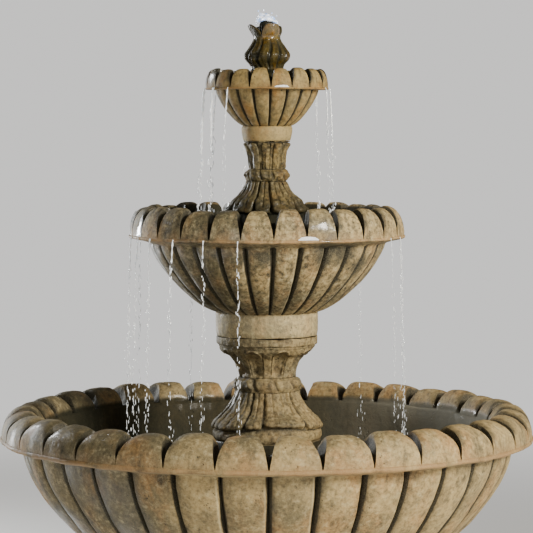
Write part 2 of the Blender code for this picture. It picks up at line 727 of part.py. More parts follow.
def power_plug():
    """Moulded plug behind the pedestal, with two blades and an earth pin."""
    back = 0.3303
    thing = box("power_plug", (-0.013, back, 0.001), (0.013, back + 0.036, 0.023), cord_jacket(), 0.003, 1)
    face = back + 0.036
    deep = 0.012
    out = 0.017
    blades = {"plug_blade_left": -0.0064, "plug_blade_right": 0.0064}
    for name, x in blades.items():
        low = (x - 0.0008, face - deep, 0.0105)
        high = (x + 0.0008, face + out, 0.0165)
        box(name, low, high, brass())
        pocket = box(name + "_pocket_tool", [v - GAP for v in low], [v + GAP for v in high], steel())
        boolean(thing, pocket)
    pin_start = (0, face - deep, 0.0065)
    outline = [(0, 0), (0.0022, 0), (0.0022, deep + out), (0, deep + out + 0.002)]
    pin = turned("plug_earth_pin", outline, 12, brass(), pin_start)
    pin.rotation_euler = (-math.pi / 2, 0, 0)
    pocket_start = (0, face - deep - GAP, 0.0065)
    boolean(thing, rod_tool("pin_pocket_tool", pocket_start, 0.05, 0.0022 + GAP, "Y"))


# ---------------------------------------------------------------- assembly

def clear_scene():
    for thing in list(bpy.data.objects):
        bpy.data.objects.remove(thing, do_unlink=True)


def castings():
    bottom_pedestal()
    bottom_bowl()
    basin_riser()
    lower_column()
    tier_bowl("middle_bowl", MIDDLE, MIDDLE_FOOT, MIDDLE_FLOOR,
              [0.1236, (0.1273, 0.282), (0.1285, 0.312)], 0.060)
    upper_column()
    tier_bowl("top_bowl", TOP, TOP_FOOT, TOP_FLOOR,
              [0.0585, (0.0630, 0.7585), (0.0637, 0.772)], 0.040)
    finial()
    bedding_ring("basin_bedding_ring", 0.140, 0.225, PEDESTAL_TOP, BASIN_FOOT)
    bedding_ring("middle_bedding_ring", 0.070, 0.112, LOWER_COLUMN_TOP, MIDDLE_FOOT)
    bedding_ring("top_bedding_ring", 0.043, 0.054, UPPER_COLUMN_TOP, TOP_FOOT)


def plumbing():
    middle_ceiling = BEAD_Z + MIDDLE.foot - 0.002
    top_ceiling = BEAD_Z + TOP.foot - 0.002
    middle_shank = middle_ceiling - 0.0115
    top_shank = top_ceiling - 0.0115
    pump_hose_barb()
    tube("lower_tube", SPOUT_TOP + 2 * GAP + 0.005, middle_shank - GAP)
    hose_clamp("lower_hose_clamp", SPOUT_TOP + 0.012)
    bulkhead("middle_bulkhead", MIDDLE_FLOOR, middle_shank, middle_shank - 0.022, barbed_top)
    gasket("middle_gasket", MIDDLE_FLOOR)
    lock_nut("middle_lock_nut", middle_ceiling)
    tube("upper_tube", MIDDLE_FLOOR + 3 * GAP + GASKET + 0.005, top_shank - GAP)
    hose_clamp("upper_hose_clamp", MIDDLE_FLOOR + 0.016)
    bulkhead("top_bulkhead", TOP_FLOOR, top_shank, top_shank - 0.022, spigot_top)
    gasket("top_gasket", TOP_FLOOR)
    lock_nut("top_lock_nut", top_ceiling)
    finial_nozzle()
    drain_stopper()


def pump():
    pump_body()
    pump_volute()
    shaft_bush("shaft_bush_rear", PUMP_X - 0.0617)
    shaft_bush("shaft_bush_front", PUMP_X + 0.0077)
    impeller_shaft()
    pump_impeller()
    pump_intake_cover()
    pump_flow_dial()
    pump_feet()


clear_scene()
castings()
plumbing()
pump()
power_cord()
power_plug()
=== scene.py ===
"""Looks of the three-tier cast-stone fountain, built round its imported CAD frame.

Metres, +Z up, the front is -Y. Angles round the fountain are 0 at the front and grow towards +X.
"""

from dataclasses import dataclass
from math import cos, exp, hypot, pi, radians, sin, sqrt

import bmesh
import bpy
import numpy as np
from mathutils import Matrix, Vector, noise


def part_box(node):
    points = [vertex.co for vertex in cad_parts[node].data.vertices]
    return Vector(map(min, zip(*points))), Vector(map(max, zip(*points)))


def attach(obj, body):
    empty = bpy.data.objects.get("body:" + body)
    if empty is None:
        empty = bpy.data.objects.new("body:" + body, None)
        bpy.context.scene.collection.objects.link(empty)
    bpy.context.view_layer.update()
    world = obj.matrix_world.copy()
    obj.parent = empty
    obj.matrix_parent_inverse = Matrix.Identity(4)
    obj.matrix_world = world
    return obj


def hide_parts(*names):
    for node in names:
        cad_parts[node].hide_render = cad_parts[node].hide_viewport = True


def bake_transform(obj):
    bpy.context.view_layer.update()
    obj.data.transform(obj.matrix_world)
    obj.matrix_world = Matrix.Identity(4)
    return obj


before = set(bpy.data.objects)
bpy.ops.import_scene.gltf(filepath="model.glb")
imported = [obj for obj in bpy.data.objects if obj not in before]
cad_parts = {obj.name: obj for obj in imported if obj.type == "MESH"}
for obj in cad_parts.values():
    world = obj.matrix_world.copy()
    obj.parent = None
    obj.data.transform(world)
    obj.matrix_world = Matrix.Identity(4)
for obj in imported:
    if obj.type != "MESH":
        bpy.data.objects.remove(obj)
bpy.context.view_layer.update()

SPIGOT = 0.012  # how far the lower column's spigot reaches below the basin's bead
BEAD_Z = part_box("lower_column")[0].z + SPIGOT  # height of the basin's bead


# ---------------------------------------------------------------- curves and blends

def smooth(low, high, value):
    """0 below low, 1 above high and a smooth rise between them."""
    t = np.clip((np.asarray(value, float) - low) / (high - low), 0, 1)
    return t * t * (3 - 2 * t)


def fade(low, high, value):
    """The same for one number."""
    return float(smooth(low, high, value))


def dice(seed):
    """Repeatable random numbers."""
    return np.random.default_rng(seed)


def curve(points, samples):
    """Rounded curve through (a, b) points, sampled evenly along its length."""
    p = np.array(points, float)
    ends = np.vstack((2 * p[0] - p[1], p, 2 * p[-1] - p[-2]))
    fine = []
    for i in range(len(p) - 1):
        a, b, c, d = ends[i:i + 4]
        for t in np.linspace(0, 1, 24, endpoint=False):
            fine.append(0.5 * (2 * b + (c - a) * t + (2 * a - 5 * b + 4 * c - d) * t ** 2
                               + (3 * b - a - 3 * c + d) * t ** 3))
    fine = np.array(fine + [p[-1]])
    along = np.concatenate(([0], np.cumsum(np.linalg.norm(np.diff(fine, axis=0), axis=1))))
    at = np.linspace(0, along[-1], samples)
    return np.stack([np.interp(at, along, fine[:, k]) for k in range(2)], axis=1)


def superellipse(share, power):
    """Quarter curve from (0, 1) at share 0 to (1, 0) at share 1."""
    angle = share * pi / 2
    return sin(angle) ** (2 / power), cos(angle) ** (2 / power)


# ---------------------------------------------------------------- meshes

@dataclass
class Row:
    """One ring of a casting. Each value is a number or one per column."""

    radius: object
    height: object  # above BEAD_Z
    painted_shading: object = 0.0  # painted shading: the materials darken it up to 1 as painted shade in grooves, creases and on sides turned from the light, and lighten it below 0 as painted highlights
    wet: object = 0.0  # how soaked
    rust: object = 0.0  # how rusty
    angles: object = None  # this row's own column angles


MASKS = ("painted_shading", "wet", "rust")
SMOOTH_ANGLE = radians(60)  # edges sharper than this stay crisp


def placed(name, data):
    """An object in the scene that holds a mesh, a light or a camera."""
    thing = bpy.data.objects.new(name, data)
    bpy.context.scene.collection.objects.link(thing)
    return thing


def revolve(name, rows, angles):
    """Closed skin through rows round the Z axis, the last joined to the first."""
    count = len(angles)

    def table(values):
        return np.array([np.broadcast_to(value, count) for value in values], float)

    radius = table([row.radius for row in rows])
    height = table([row.height for row in rows]) + BEAD_Z
    turn = table([angles if row.angles is None else row.angles for row in rows])
    points = np.stack((radius * np.sin(turn), -radius * np.cos(turn), height), -1).reshape(-1, 3)
    i, j = np.meshgrid(np.arange(len(rows)), np.arange(count), indexing="ij")
    down = (i + 1) % len(rows)
    right = (j + 1) % count
    faces = np.stack((i * count + j, i * count + right, down * count + right, down * count + j), -1)
    faces = faces.reshape(-1, 4)
    corners = points[faces]
    spans = np.cross(corners[:, 2] - corners[:, 0], corners[:, 3] - corners[:, 1])
    if (corners.mean(1) * spans).sum() < 0:
        faces = faces[:, ::-1]
    mesh = bpy.data.meshes.new(name)
    mesh.from_pydata(points.tolist(), [], faces.tolist())
    for mask in MASKS:
        values = table([getattr(row, mask) for row in rows]).ravel().astype(np.float32)
        mesh.attributes.new(mask, "FLOAT", "POINT").data.foreach_set("value", values)
    mesh.shade_smooth()
    mesh.set_sharp_from_angle(angle=SMOOTH_ANGLE)
    return placed(name, mesh)


LUMP_PITCH = 14  # noise cells in a metre
GRAIN_PITCH = 55
PIT_PITCH = 120


def weather(thing, lumps, grains, seed):
    """Wears a casting: slow lumps and finer grain, in metres, pushed along its normals."""
    mesh = thing.data
    count = len(mesh.vertices)
    points = np.zeros(count * 3, np.float32)
    normals = np.zeros(count * 3, np.float32)
    mesh.vertices.foreach_get("co", points)
    mesh.vertex_normals.foreach_get("vector", normals)
    points = points.reshape(-1, 3)
    normals = normals.reshape(-1, 3)
    shift = Vector((seed, 3.1 * seed, -seed))
    push = np.empty(count, np.float32)
    for k, point in enumerate(points):
        at = Vector(point.tolist()) + shift
        slow = lumps * noise.noise(at * LUMP_PITCH)
        push[k] = slow + grains * noise.noise(at * GRAIN_PITCH) + 0.5 * grains * noise.noise(at * PIT_PITCH)
    points += normals * push[:, None]
    mesh.vertices.foreach_set("co", points.ravel())
    mesh.update()


# ---------------------------------------------------------------- node materials

class Nodes:
    """The shader nodes of a material or a world. An input is a value or another node's socket."""

    def __init__(self, holder, shader="Principled BSDF"):
        holder.use_nodes = True
        self.tree = holder.node_tree
        self.shader = self.tree.nodes[shader]
        self.place = self.add("TexCoord").outputs["Object"]

    def put(self, socket, value):
        if isinstance(value, bpy.types.NodeSocket):
            self.tree.links.new(value, socket)
        else:
            socket.default_value = value

    def add(self, kind, inputs=None, **settings):
        made = self.tree.nodes.new("ShaderNode" + kind)
        for key, value in settings.items():
            setattr(made, key, value)
        for key, value in (inputs or {}).items():
            self.put(made.inputs[key], value)
        return made

    def feed(self, inputs):
        """Sets inputs of the main shader."""
        for key, value in inputs.items():
            self.put(self.shader.inputs[key], value)

    def maths(self, operation, a, b=0.0, c=0.0):
        return self.add("Math", {0: a, 1: b, 2: c}, operation=operation).outputs[0]

    def share(self, value, amount):
        return self.maths("MULTIPLY", value, amount)

    def grow(self, value, amount, start):
        return self.maths("MULTIPLY_ADD", value, amount, start)

    def mix(self, factor, a, b):
        """Colour a where factor is 0 and colour b where it is 1."""
        made = self.add("Mix", data_type="RGBA", clamp_factor=True)
        self.put(made.inputs[0], factor)
        for index, colour in ((6, a), (7, b)):
            self.put(made.inputs[index], (*colour, 1.0) if isinstance(colour, tuple) else colour)
        return made.outputs[2]

    def rise(self, value, low, high):
        """0 where value is short of low, 1 where it is past high, which may be the smaller of the two."""
        inputs = {"Value": value, "From Min": low, "From Max": high}
        return self.add("MapRange", inputs, interpolation_type="SMOOTHSTEP").outputs["Result"]

    def patches(self, scale, detail=4.0, roughness=0.55, distortion=0.0, place=None):
        inputs = {"Vector": place or self.place, "Scale": scale, "Detail": detail, "Roughness": roughness,
                  "Distortion": distortion}
        return self.add("TexNoise", inputs).outputs["Fac"]

    def stretched(self, scale, offset=(0, 0, 0)):
        inputs = {"Vector": self.place, "Scale": scale, "Location": offset}
        return self.add("Mapping", inputs).outputs["Vector"]

    def spot(self, ragged, patch):
        """A ragged patch: 1 in its middle and 0 beyond its radius."""
        x, y, height, size = patch
        away = self.add("VectorMath", {0: self.place, 1: (x, y, BEAD_Z + height)}, operation="DISTANCE")
        edge = self.grow(self.maths("SUBTRACT", ragged, 0.5), 1.6 * size, away.outputs["Value"])
        return self.rise(edge, size, 0.3 * size)

    def bumps(self, *parts):
        """Chains (height socket, distance in metres, strength) bumps into the shader's normal."""
        normal = None
        for height, distance, strength in parts:
            inputs = {"Height": height, "Distance": distance, "Strength": strength}
            if normal is not None:
                inputs["Normal"] = normal
            normal = self.add("Bump", inputs).outputs["Normal"]
        self.feed({"Normal": normal})


TAN = (0.415, 0.302, 0.132)
OLIVE = (0.150, 0.122, 0.062)
OCHRE = (0.400, 0.215, 0.070)
# Soot and dirt; the same colour also paints the shade in grooves and hollows.
SOOT_AND_SHADE = (0.014, 0.013, 0.008)
MOSS = (0.056, 0.058, 0.030)
# Pale lime bloom; the same colour also paints the highlights on lit edges and the lighter foot rings.
LIME_AND_HIGHLIGHT = (0.560, 0.475, 0.275)
RUST = (0.310, 0.180, 0.075)
SOAKED = (0.018, 0.019, 0.013)
SLIME_AND_LIGHT = (0.185, 0.180, 0.145)


@dataclass
class Finish:
    """How one casting is stained. Shares run from 0 to 1."""

    dark: float = 0.35  # soft dark patches
    green: float = 0.3  # grey-green film
    ochre: float = 0.3  # rusty stains
    lime: float = 0.3  # pale bloom
    wet: float = 0.3  # glossy wet film
    gloss: float = 0.3  # shine of the wet film
    warm_low: float = -0.45  # greyer and wetter left of here, warmer right of warm_high: partly film and wet, partly painted shade on the left where the light falls off
    warm_high: float = 0.25
    scale: float = 1.0  # fineness of the patches
    tone: float = 1.0  # brightness
    rich: float = 1.0  # saturation
    slime_and_light: float = 0.0  # grey film and painted light on the soaked right side
    speckle: float = 0.35  # strength of the finest light and dark mottling
    stains: tuple = ()  # (x, y, height above BEAD_Z, radius) of the worst patches


def stone(name, finish):
    """Old cast stone: tan body, grey-green film, rusty stains and fine pits, with painted shade in the
    hollows and painted highlights on lit edges.
    """
    made = bpy.data.materials.new(name)
    n = Nodes(made)
    painted_shading, soaked, rusty = [n.add("Attribute", attribute_name=mask).outputs["Fac"] for mask in MASKS]
    across = n.add("SeparateXYZ", {"Vector": n.place}).outputs["X"]
    # More film and more wet towards the left: partly real, partly painted shade where the light falls off.
    left = n.rise(across, finish.warm_high, finish.warm_low)
    s = finish.scale
    broad = n.patches(4.5 * s, 3)
    blotch = n.patches(15.0 * s, 6, 0.62, 0.3)
    cloud = n.patches(9.0 * s, 5, 0.6, 0.2, n.stretched((1, 1, 0.6), (3, 1, 7)))
    fleck = n.patches(62.0, 5, 0.68)
    mottle = n.patches(120.0, 4, 0.6)
    grain = n.patches(400.0, 3, 0.7)
    runs = n.patches(1.0, 4, 0.6, 0.3, n.stretched((40 * s, 40 * s, 5 * s)))
    cells = n.add("TexVoronoi", {"Vector": n.place, "Scale": 110.0, "Randomness": 1.0}).outputs["Distance"]
    pit = n.share(n.rise(cells, 0.30, 0.08), n.rise(n.patches(26.0, 3), 0.54, 0.64))
    film = n.maths("ADD", n.grow(left, 0.30, broad), n.share(cloud, 0.30))
    grime_and_shade = n.grow(runs, 0.45, n.share(blotch, 0.55))
    # Painted shade from the shading mask, broken up by the blotches.
    patchy_shade = n.maths("ADD", painted_shading, n.share(n.maths("SUBTRACT", blotch, 0.5), 0.5))

    green = 0.35 * finish.green
    layers = [(n.rise(film, 0.76 - green, 1.12 - green), 1.0, OLIVE),
              (n.rise(cloud, 0.46, 0.68), finish.ochre, OCHRE),
              (n.rise(blotch, 0.50, 0.74), 0.9 * finish.green, MOSS),
              (n.rise(fleck, 0.50, 0.72), finish.lime, LIME_AND_HIGHLIGHT),
              (n.rise(grime_and_shade, 0.52, 0.30), finish.dark, SOOT_AND_SHADE),
              (n.rise(fleck, 0.50, 0.30), finish.speckle, SOOT_AND_SHADE),
              (n.rise(mottle, 0.54, 0.32), finish.speckle, SOOT_AND_SHADE),
              (n.rise(mottle, 0.54, 0.70), 0.5 * finish.speckle, LIME_AND_HIGHLIGHT),
              (pit, 0.8, SOOT_AND_SHADE)]
    layers += [(n.spot(blotch, patch), 0.85, SOAKED) for patch in finish.stains]
    # The last layers: rust, painted shade in grooves and hollows, painted highlights where the shading mask
    # is below 0, and pale grain.
    layers += [(n.rise(blotch, 0.30, 0.60), rusty, RUST),
               (n.rise(patchy_shade, 0.18, 0.80), 0.94, SOOT_AND_SHADE),
               (n.rise(painted_shading, -0.1, -0.7), 0.55, LIME_AND_HIGHLIGHT),
               (n.rise(grain, 0.42, 0.66), 0.14, LIME_AND_HIGHLIGHT)]
    wet = 0.6 * finish.wet
    wet = n.maths("MAXIMUM", n.rise(n.grow(left, 0.25, broad), 0.85 - wet, 1.05 - wet),
                  n.rise(n.grow(runs, 0.4, soaked), 0.35, 0.9))
    soak = n.rise(n.grow(runs, 0.5, soaked), 0.55, 1.15)
    # The soaked stone turns paler grey to the right: partly a grey film, partly painted light.
    slimy_and_lit = n.mix(n.share(n.rise(across, 0.02, 0.45), finish.slime_and_light), SOAKED, SLIME_AND_LIGHT)
    layers += [(wet, 0.35, SOAKED), (soak, 0.90, slimy_and_lit)]
    colour = TAN
    for where, amount, layer in layers:
        colour = n.mix(n.share(where, amount), colour, layer)
    toned = n.add("HueSaturation", {"Color": colour, "Value": finish.tone, "Saturation": finish.rich})

    shine = n.share(wet, n.grow(soak, -0.98, 1.0))
    n.feed({"Base Color": toned.outputs["Color"],
            "Roughness": n.share(n.grow(fleck, 0.30, 0.58), n.grow(shine, -0.50, 1.0)),
            "Coat Weight": n.share(shine, finish.gloss),
            "Coat Roughness": 0.12,
            "Specular IOR Level": n.grow(soak, -0.35, 0.45)})
    n.bumps((cloud, 0.008, 0.30), (blotch, 0.006, 0.50), (fleck, 0.0026, 0.48), (grain, 0.0006, 0.45),
            (pit, -0.0016, 0.8))
    return made


def casting(node, body, rows, angles, material, wear, seed, cutters=()):
    """A worn casting that stands in for a frame part. The wear is its lumps and its grain in metres."""
    thing = revolve(node + "_casting", rows, angles)
    weather(thing, *wear, seed)
    if cutters:
        cut_with(thing, cutters)
    thing.data.materials.clear()
    thing.data.materials.append(material)
    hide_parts(node)
    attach(thing, body)


# ---------------------------------------------------------------- bowls

COLUMNS = 26  # points across one lobe
FACE = 0.54  # share of a lobe's columns that lie on its face, the rest lie in the gouge beside it
LOBE_FOOT = 0.94  # height of a lobe's foot on the bead, as a share of the bead
LOBE_INSET = 0.28  # how far it sits back from the bead's edge, as a share of the bead
LOBE_POWER = 2.3  # roundness of a lobe outside
WALL_POWER = 1.9  # roundness of a bowl's inside
WALL_TOP = 0.20  # how far down to the floor the round part of the wall starts
WALL_INSET = 0.010  # how far it stands in from the ledge


@dataclass
class Bowl:
    """One scalloped basin. Heights are above BEAD_Z, and radii are from the fountain's axis."""

    node: str
    lobes: int
    turn: float  # angle from the front to the nearest notch, degrees
    bead_r: float
    bead: float
    bead_h: float
    crest_r: float
    crest: float
    sill: float  # bottom of a gouge under the crest
    ledge_r: float
    ledge: float
    lip_r: float
    lip: float
    foot_r: float
    foot: float
    fullness: float  # power of the superellipse from the foot to the lip
    groove: float  # depth of the grooves between the flutes
    rows: int  # rows down the flutes
    gouge: float  # the gouge's share of the pitch at the crest
    opening: float  # power of the gouge's opening towards the crest
    arch: float  # how far a lobe's crest falls towards its sides
    edges: float  # how much painted shade darkens the sides of the lobes and the flutes on the left
    flute_gap: float  # the groove's share of the pitch
    floor: float
    hub_r: float  # flat middle of the floor
    foot_rows: tuple  # (radius, height) from the inner edge of the floor's hole, down and out to the flutes
    inside_wet: float
    wet_from: float  # where the soaking starts: 1 on the crest, 2 on the ledge inside
    seed: int


BOTTOM = Bowl("bottom_bowl", 34, 0.4, 0.660, 0.000, 0.0125, 0.592, 0.083, 0.020, 0.556, 0.034,
              0.607, -0.012, 0.260, -0.345, 1.5, 0.022, 30, 0.34, 1.1, 0.40, 0.16, 0.15, -0.310, 0.20,
              ((0.002, -0.348), (0.130, -0.348), (0.130, -0.360), (0.250, -0.360), (0.256, -0.358)),
              0.85, 1.65, 7)
MIDDLE = Bowl("middle_bowl", 27, 2.8, 0.341, 0.5005, 0.0080, 0.297, 0.579, 0.5200, 0.276, 0.548,
              0.290, 0.4860, 0.1297, 0.318, 1.35, 0.013, 28, 0.45, 0.95, 0.25, 0.34, 0.24, 0.345, 0.110,
              ((0.0125, 0.345), (0.0125, 0.316), (0.060, 0.316), (0.060, 0.2582), (0.1226, 0.2582),
               (0.1236, 0.2592), (0.1262, 0.272), (0.1276, 0.292), (0.1280, 0.310), (0.1272, 0.3145)),
              0.9, 1.20, 11)
TOP = Bowl("top_bowl", 18, 3.8, 0.152, 0.8655, 0.0045, 0.130, 0.916, 0.8790, 0.118, 0.896,
           0.1260, 0.8645, 0.0600, 0.776, 1.35, 0.008, 24, 0.47, 0.95, 0.29, 0.52, 0.20, 0.802, 0.048,
           ((0.0125, 0.802), (0.0125, 0.774), (0.040, 0.774), (0.040, 0.740), (0.0578, 0.740),
            (0.0585, 0.7408), (0.0606, 0.750), (0.0628, 0.760), (0.0634, 0.770), (0.0620, 0.7745)),
           1.0, 1.20, 5)


class Lobes:
    """Where the columns stand across a bowl's lobes. They crowd at the edge of the gouge."""

    def __init__(self, bowl):
        self.bowl = bowl
        self.number = np.repeat(np.arange(bowl.lobes), COLUMNS)
        self.t = np.tile(np.arange(COLUMNS) / COLUMNS * 2 - 1, bowl.lobes)
        self.in_gouge = np.clip((np.abs(self.t) - FACE) / (1 - FACE), 0, 1)  # 0 at its edge, 1 at its bottom

    def place(self, gouge):
        """Place across the lobe, -1 to 1, when the gouge takes that share of the pitch."""
        face = np.abs(self.t) / FACE * (1 - gouge)
        side = np.where(np.abs(self.t) <= FACE, face, 1 - gouge + gouge * self.in_gouge)
        return np.sign(self.t) * side

    def angles(self, u):
        turns = (self.number + 0.5 + 0.5 * u) * 2 * pi / self.bowl.lobes
        return turns + radians(self.bowl.turn)

    def each(self, values):
        """Spreads one value per lobe over the lobe's columns."""
        return values[self.number]


def underside(bowl, share):
    """Radius and height of the bowl's outside, share 0 at the foot and 1 under the lip."""
    out, down = superellipse(share, bowl.fullness)
    return (bowl.foot_r + (bowl.lip_r - bowl.foot_r) * out,
            bowl.lip - (bowl.lip - bowl.foot) * down)


def bowl_flutes(bowl, lobes, rng):
    """Gadroons: broad convex staves that roll down into a narrow groove between each two, with painted shade
    in the grooves and over one side of each stave and a painted highlight along one edge.
    """
    lean = lobes.each(rng.uniform(-0.16, 0.16, bowl.lobes))
    proud = lobes.each(rng.uniform(0.0, 0.20, bowl.lobes))
    u = lobes.place(bowl.flute_gap)
    side = np.abs(u)
    w = lobes.in_gouge
    cut = 0.45 * w + 0.55 * w ** 2
    # Painted shade: a little on each stave's sides, deep in the groove and over its left half.
    shade = 0.04 + 0.14 * side ** 4 + 0.85 * smooth(0.0, 0.60 - 0.8 * bowl.edges, w)
    shade = shade + 0.40 * smooth(0.0, 1.0, -u)
    left = smooth(0.30, 0.90, -np.sin(lobes.angles(0.0)))  # the left side: painted darker, for wet stone and for painted shade where the light falls off
    shade = shade + min(1.8 * bowl.edges, 0.38) * left
    edge_highlight = lobes.each(rng.uniform(0.3, 1.0, bowl.lobes)) * (0.7 + 0.8 * left)  # a painted highlight along one edge, stronger on the left
    lit_edge = np.where(left > 0.5, -1, 1) * (1.0 - bowl.flute_gap)
    edge_highlight = edge_highlight * np.exp(-((u - lit_edge) / 0.07) ** 2)
    rows = []
    for share in np.linspace(0.0, 1.0, bowl.rows):
        radius, height = underside(bowl, share)
        depth = bowl.groove * (0.35 + 0.65 * smooth(0.0, 0.25, share))
        crown = (0.15 + bowl.edges) * side ** 2.2 + lean * u * 0.5 - proud * (1 - side ** 4)
        rows.append(Row(radius - depth * (crown + 0.80 * cut), height, shade - edge_highlight, angles=lobes.angles(u)))
    return rows


def bowl_lip(bowl, lobes):
    """The overhang under the rim and the round bead at its edge."""
    half = bowl.bead_h / 2
    inner = bowl.bead_r - half
    rows = []
    for share in (0.15, 0.5, 0.85):
        radius = bowl.lip_r + (inner - 0.3 * half - bowl.lip_r) * share
        height = bowl.lip + (bowl.bead - 0.2 * half - bowl.lip) * share ** 0.6
        # Painted shade under the overhang, fading towards the bead.
        rows.append(Row(radius, height, 0.45 * (1 - share), angles=lobes.angles(lobes.place(0.10))))
    for angle in np.radians((-80, -50, -20, 10, 40, 70)):
        rows.append(Row(inner + half * cos(angle), bowl.bead + half * (1 + sin(angle)),
                        rust=0.8, angles=lobes.angles(lobes.place(0.05))))
    return rows


def lobe_foot(bowl):
    """Radius and height where the lobes stand on the bead."""
    return bowl.bead_r - LOBE_INSET * bowl.bead_h, bowl.bead + LOBE_FOOT * bowl.bead_h


def lobe_outside(bowl, s):
    """Radius and height of a lobe's middle, s 0 at the foot and 1 at the crest."""
    foot_r, foot = lobe_foot(bowl)
    up, out = superellipse(s, LOBE_POWER)
    return bowl.crest_r + (foot_r - bowl.crest_r) * out, foot + (bowl.crest - foot) * up


def bowl_lobes(bowl, lobes, rng):
    """Broad lobes round the rim, parted by gouges that open from a point at the bead, with painted shade on
    their sides and in the gouges and a painted highlight along one edge.
    """
    tall = lobes.each(rng.uniform(0.94, 1.04, bowl.lobes))
    wide = lobes.each(rng.uniform(0.85, 1.18, bowl.lobes))
    skew = lobes.each(rng.uniform(-0.05, 0.05, bowl.lobes))
    base_r, base = lobe_foot(bowl)
    toward = -np.sin(lobes.angles(0.0))  # painted shade falls on a lobe's side that is nearer the front
    w = lobes.in_gouge
    scoop = 0.45 * np.sqrt(np.clip(1 - (1 - w) ** 2, 0, 1)) + 0.55 * w * (2 - w)
    rows = []
    for s in np.concatenate((np.linspace(0.0, 1.0, 20), np.linspace(1.08, 2.0, 12))):
        if s <= 1:
            radius, height = lobe_outside(bowl, s)
        else:
            inward, down = superellipse(s - 1, 1.8)
            radius = bowl.crest_r - (bowl.crest_r - bowl.ledge_r) * inward
            height = bowl.ledge + (bowl.crest - bowl.ledge) * down
        sill_r = base_r + (bowl.ledge_r - base_r) * (s / 2)
        sill = base + (bowl.sill - base) * fade(0, 1.0, s)
        sill = sill - (bowl.sill - bowl.ledge) * max(0.0, s - 1)
        gouge = 0.02 + (bowl.gouge - 0.02) * min(1.0, s) ** bowl.opening
        gouge = gouge - 0.5 * bowl.gouge * fade(1.1, 1.8, s)
        gouge = gouge * (1 + (wide - 1) * fade(0.0, 0.4, s))
        inside = 1 - 0.4 * fade(1.5, 2.0, s)
        u = lobes.place(gouge)
        side = np.abs(u)
        crown = bowl.arch * side ** 3.6 * fade(0.10, 0.9, s) * inside
        full = (1 - scoop) * (1 - crown)
        dark = fade(0.08 * bowl.opening, 0.32 * bowl.opening, s) * inside
        # Painted shade on the face's side nearer the front and a painted highlight along its other edge, most
        # on the lobes at the sides.
        inner = np.sign(toward) * u / (1 - gouge)  # -1 and 1 at the edges of the lobe's face
        lit = np.exp(-((inner + 0.97) / 0.10) ** 2)
        shade = np.abs(toward) * (0.58 * smooth(0.30, 1.0, inner) - 0.60 * lit)
        u = u + skew * (1 - u * u) * fade(0.0, 0.5, s)
        # Painted shade on the lobe's sides and in the gouge, over an even darkening.
        grime_and_shade = bowl.edges * (0.35 + 0.65 * side ** 3) + smooth(0.0, 0.15, w) * dark + shade * dark
        wet = 0.12 + 0.88 * bowl.inside_wet * fade(bowl.wet_from, bowl.wet_from + 0.3, s)
        rust = 0.35 * (1 - fade(0.0, 0.20, s))
        rows.append(Row(sill_r + (radius - sill_r) * full,
                        sill + (height * tall + base * (1 - tall) - sill) * full,
                        grime_and_shade, wet, rust, lobes.angles(u)))
    return rows


def wall(bowl, share):
    """Radius and height of a bowl's inside, share 0 at the flat middle and 1 at the top of the wall."""
    top_r = bowl.ledge_r - WALL_INSET
    top = bowl.ledge - WALL_TOP * (bowl.ledge - bowl.floor)
    out, down = superellipse(share, WALL_POWER)
    return bowl.hub_r + (top_r - bowl.hub_r) * out, bowl.floor + (top - bowl.floor) * (1 - down)


def bowl_inside(bowl, lobes):
    """The rounded ledge inside the rim, the steep wall below it and the dished floor."""
    drop = bowl.ledge - bowl.floor
    angles = lobes.angles(lobes.place(0.40))
    # A little painted shade below the ledge and down the inside wall.
    rows = [Row(bowl.ledge_r - inset, bowl.ledge - down, painted_shading, bowl.inside_wet, angles=angles)
            for inset, down, painted_shading in ((0.0030, 0.0022, 0.0), (0.0055, 0.0070, 0.0),
                                        (0.0080, 0.12 * drop, 0.1))]
    rows += [Row(*wall(bowl, share), 0.15, bowl.inside_wet, angles=angles)
             for share in np.linspace(1.0, 0.0, 14)]
    return rows


LIT_FOOT = -0.36  # painted light: the foot rings are painted paler
BOWL_WEAR = (0.0030, 0.0008)


def bowl_casting(bowl, body, material):
    rng = dice(bowl.seed)
    lobes = Lobes(bowl)
    rows = [Row(radius, height, LIT_FOOT) for radius, height in bowl.foot_rows]
    rows += bowl_flutes(bowl, lobes, rng)
    rows += bowl_lip(bowl, lobes)
    rows += bowl_lobes(bowl, lobes, rng)
    rows += bowl_inside(bowl, lobes)
    if bowl is BOTTOM:
        rows.append(Row(0.002, bowl.floor))
    size = (bowl.bead_r / BOTTOM.bead_r) ** 0.5
    wear = [size * each for each in BOWL_WEAR]
    casting(bowl.node, body, rows, lobes.angles(lobes.place(bowl.flute_gap)), material, wear, bowl.seed)


# ---------------------------------------------------------------- columns

def around(count):
    """Evenly spaced column angles."""
    return np.arange(count) / count * 2 * pi


def repeated(repeats, columns):
    """Column angles and each column's place across its repeat, -1 to 1. The first is centred on the front."""
    place = np.tile(np.arange(columns) / columns * 2 - 1, repeats)
    number = np.repeat(np.arange(repeats), columns)
    return (number + 0.5 * place) * 2 * pi / repeats, place


def uneven(angles, edges):
    """Place between the nearest two edges, -1 to 1, and that stretch's number. The edges are in degrees."""
    edges = np.radians(np.sort(np.asarray(edges) % 360))
    turn = angles % (2 * pi)
    number = np.searchsorted(edges, turn, side="right") - 1
    low = np.where(number < 0, edges[-1] - 2 * pi, edges[number])
    after = edges[(number + 1) % len(edges)]
    high = np.where(number + 1 < len(edges), after, edges[0] + 2 * pi)
    return 2 * (turn - low) / (high - low) - 1, number % len(edges)


def angles_apart(angles, degrees):
    """Signed angle from a direction in degrees, in radians."""
    return (angles - radians(degrees) + pi) % (2 * pi) - pi


def ridge(value, middle, width):
    """A smooth hump, 1 at its middle."""
    return np.exp(-((value - middle) / width) ** 2)


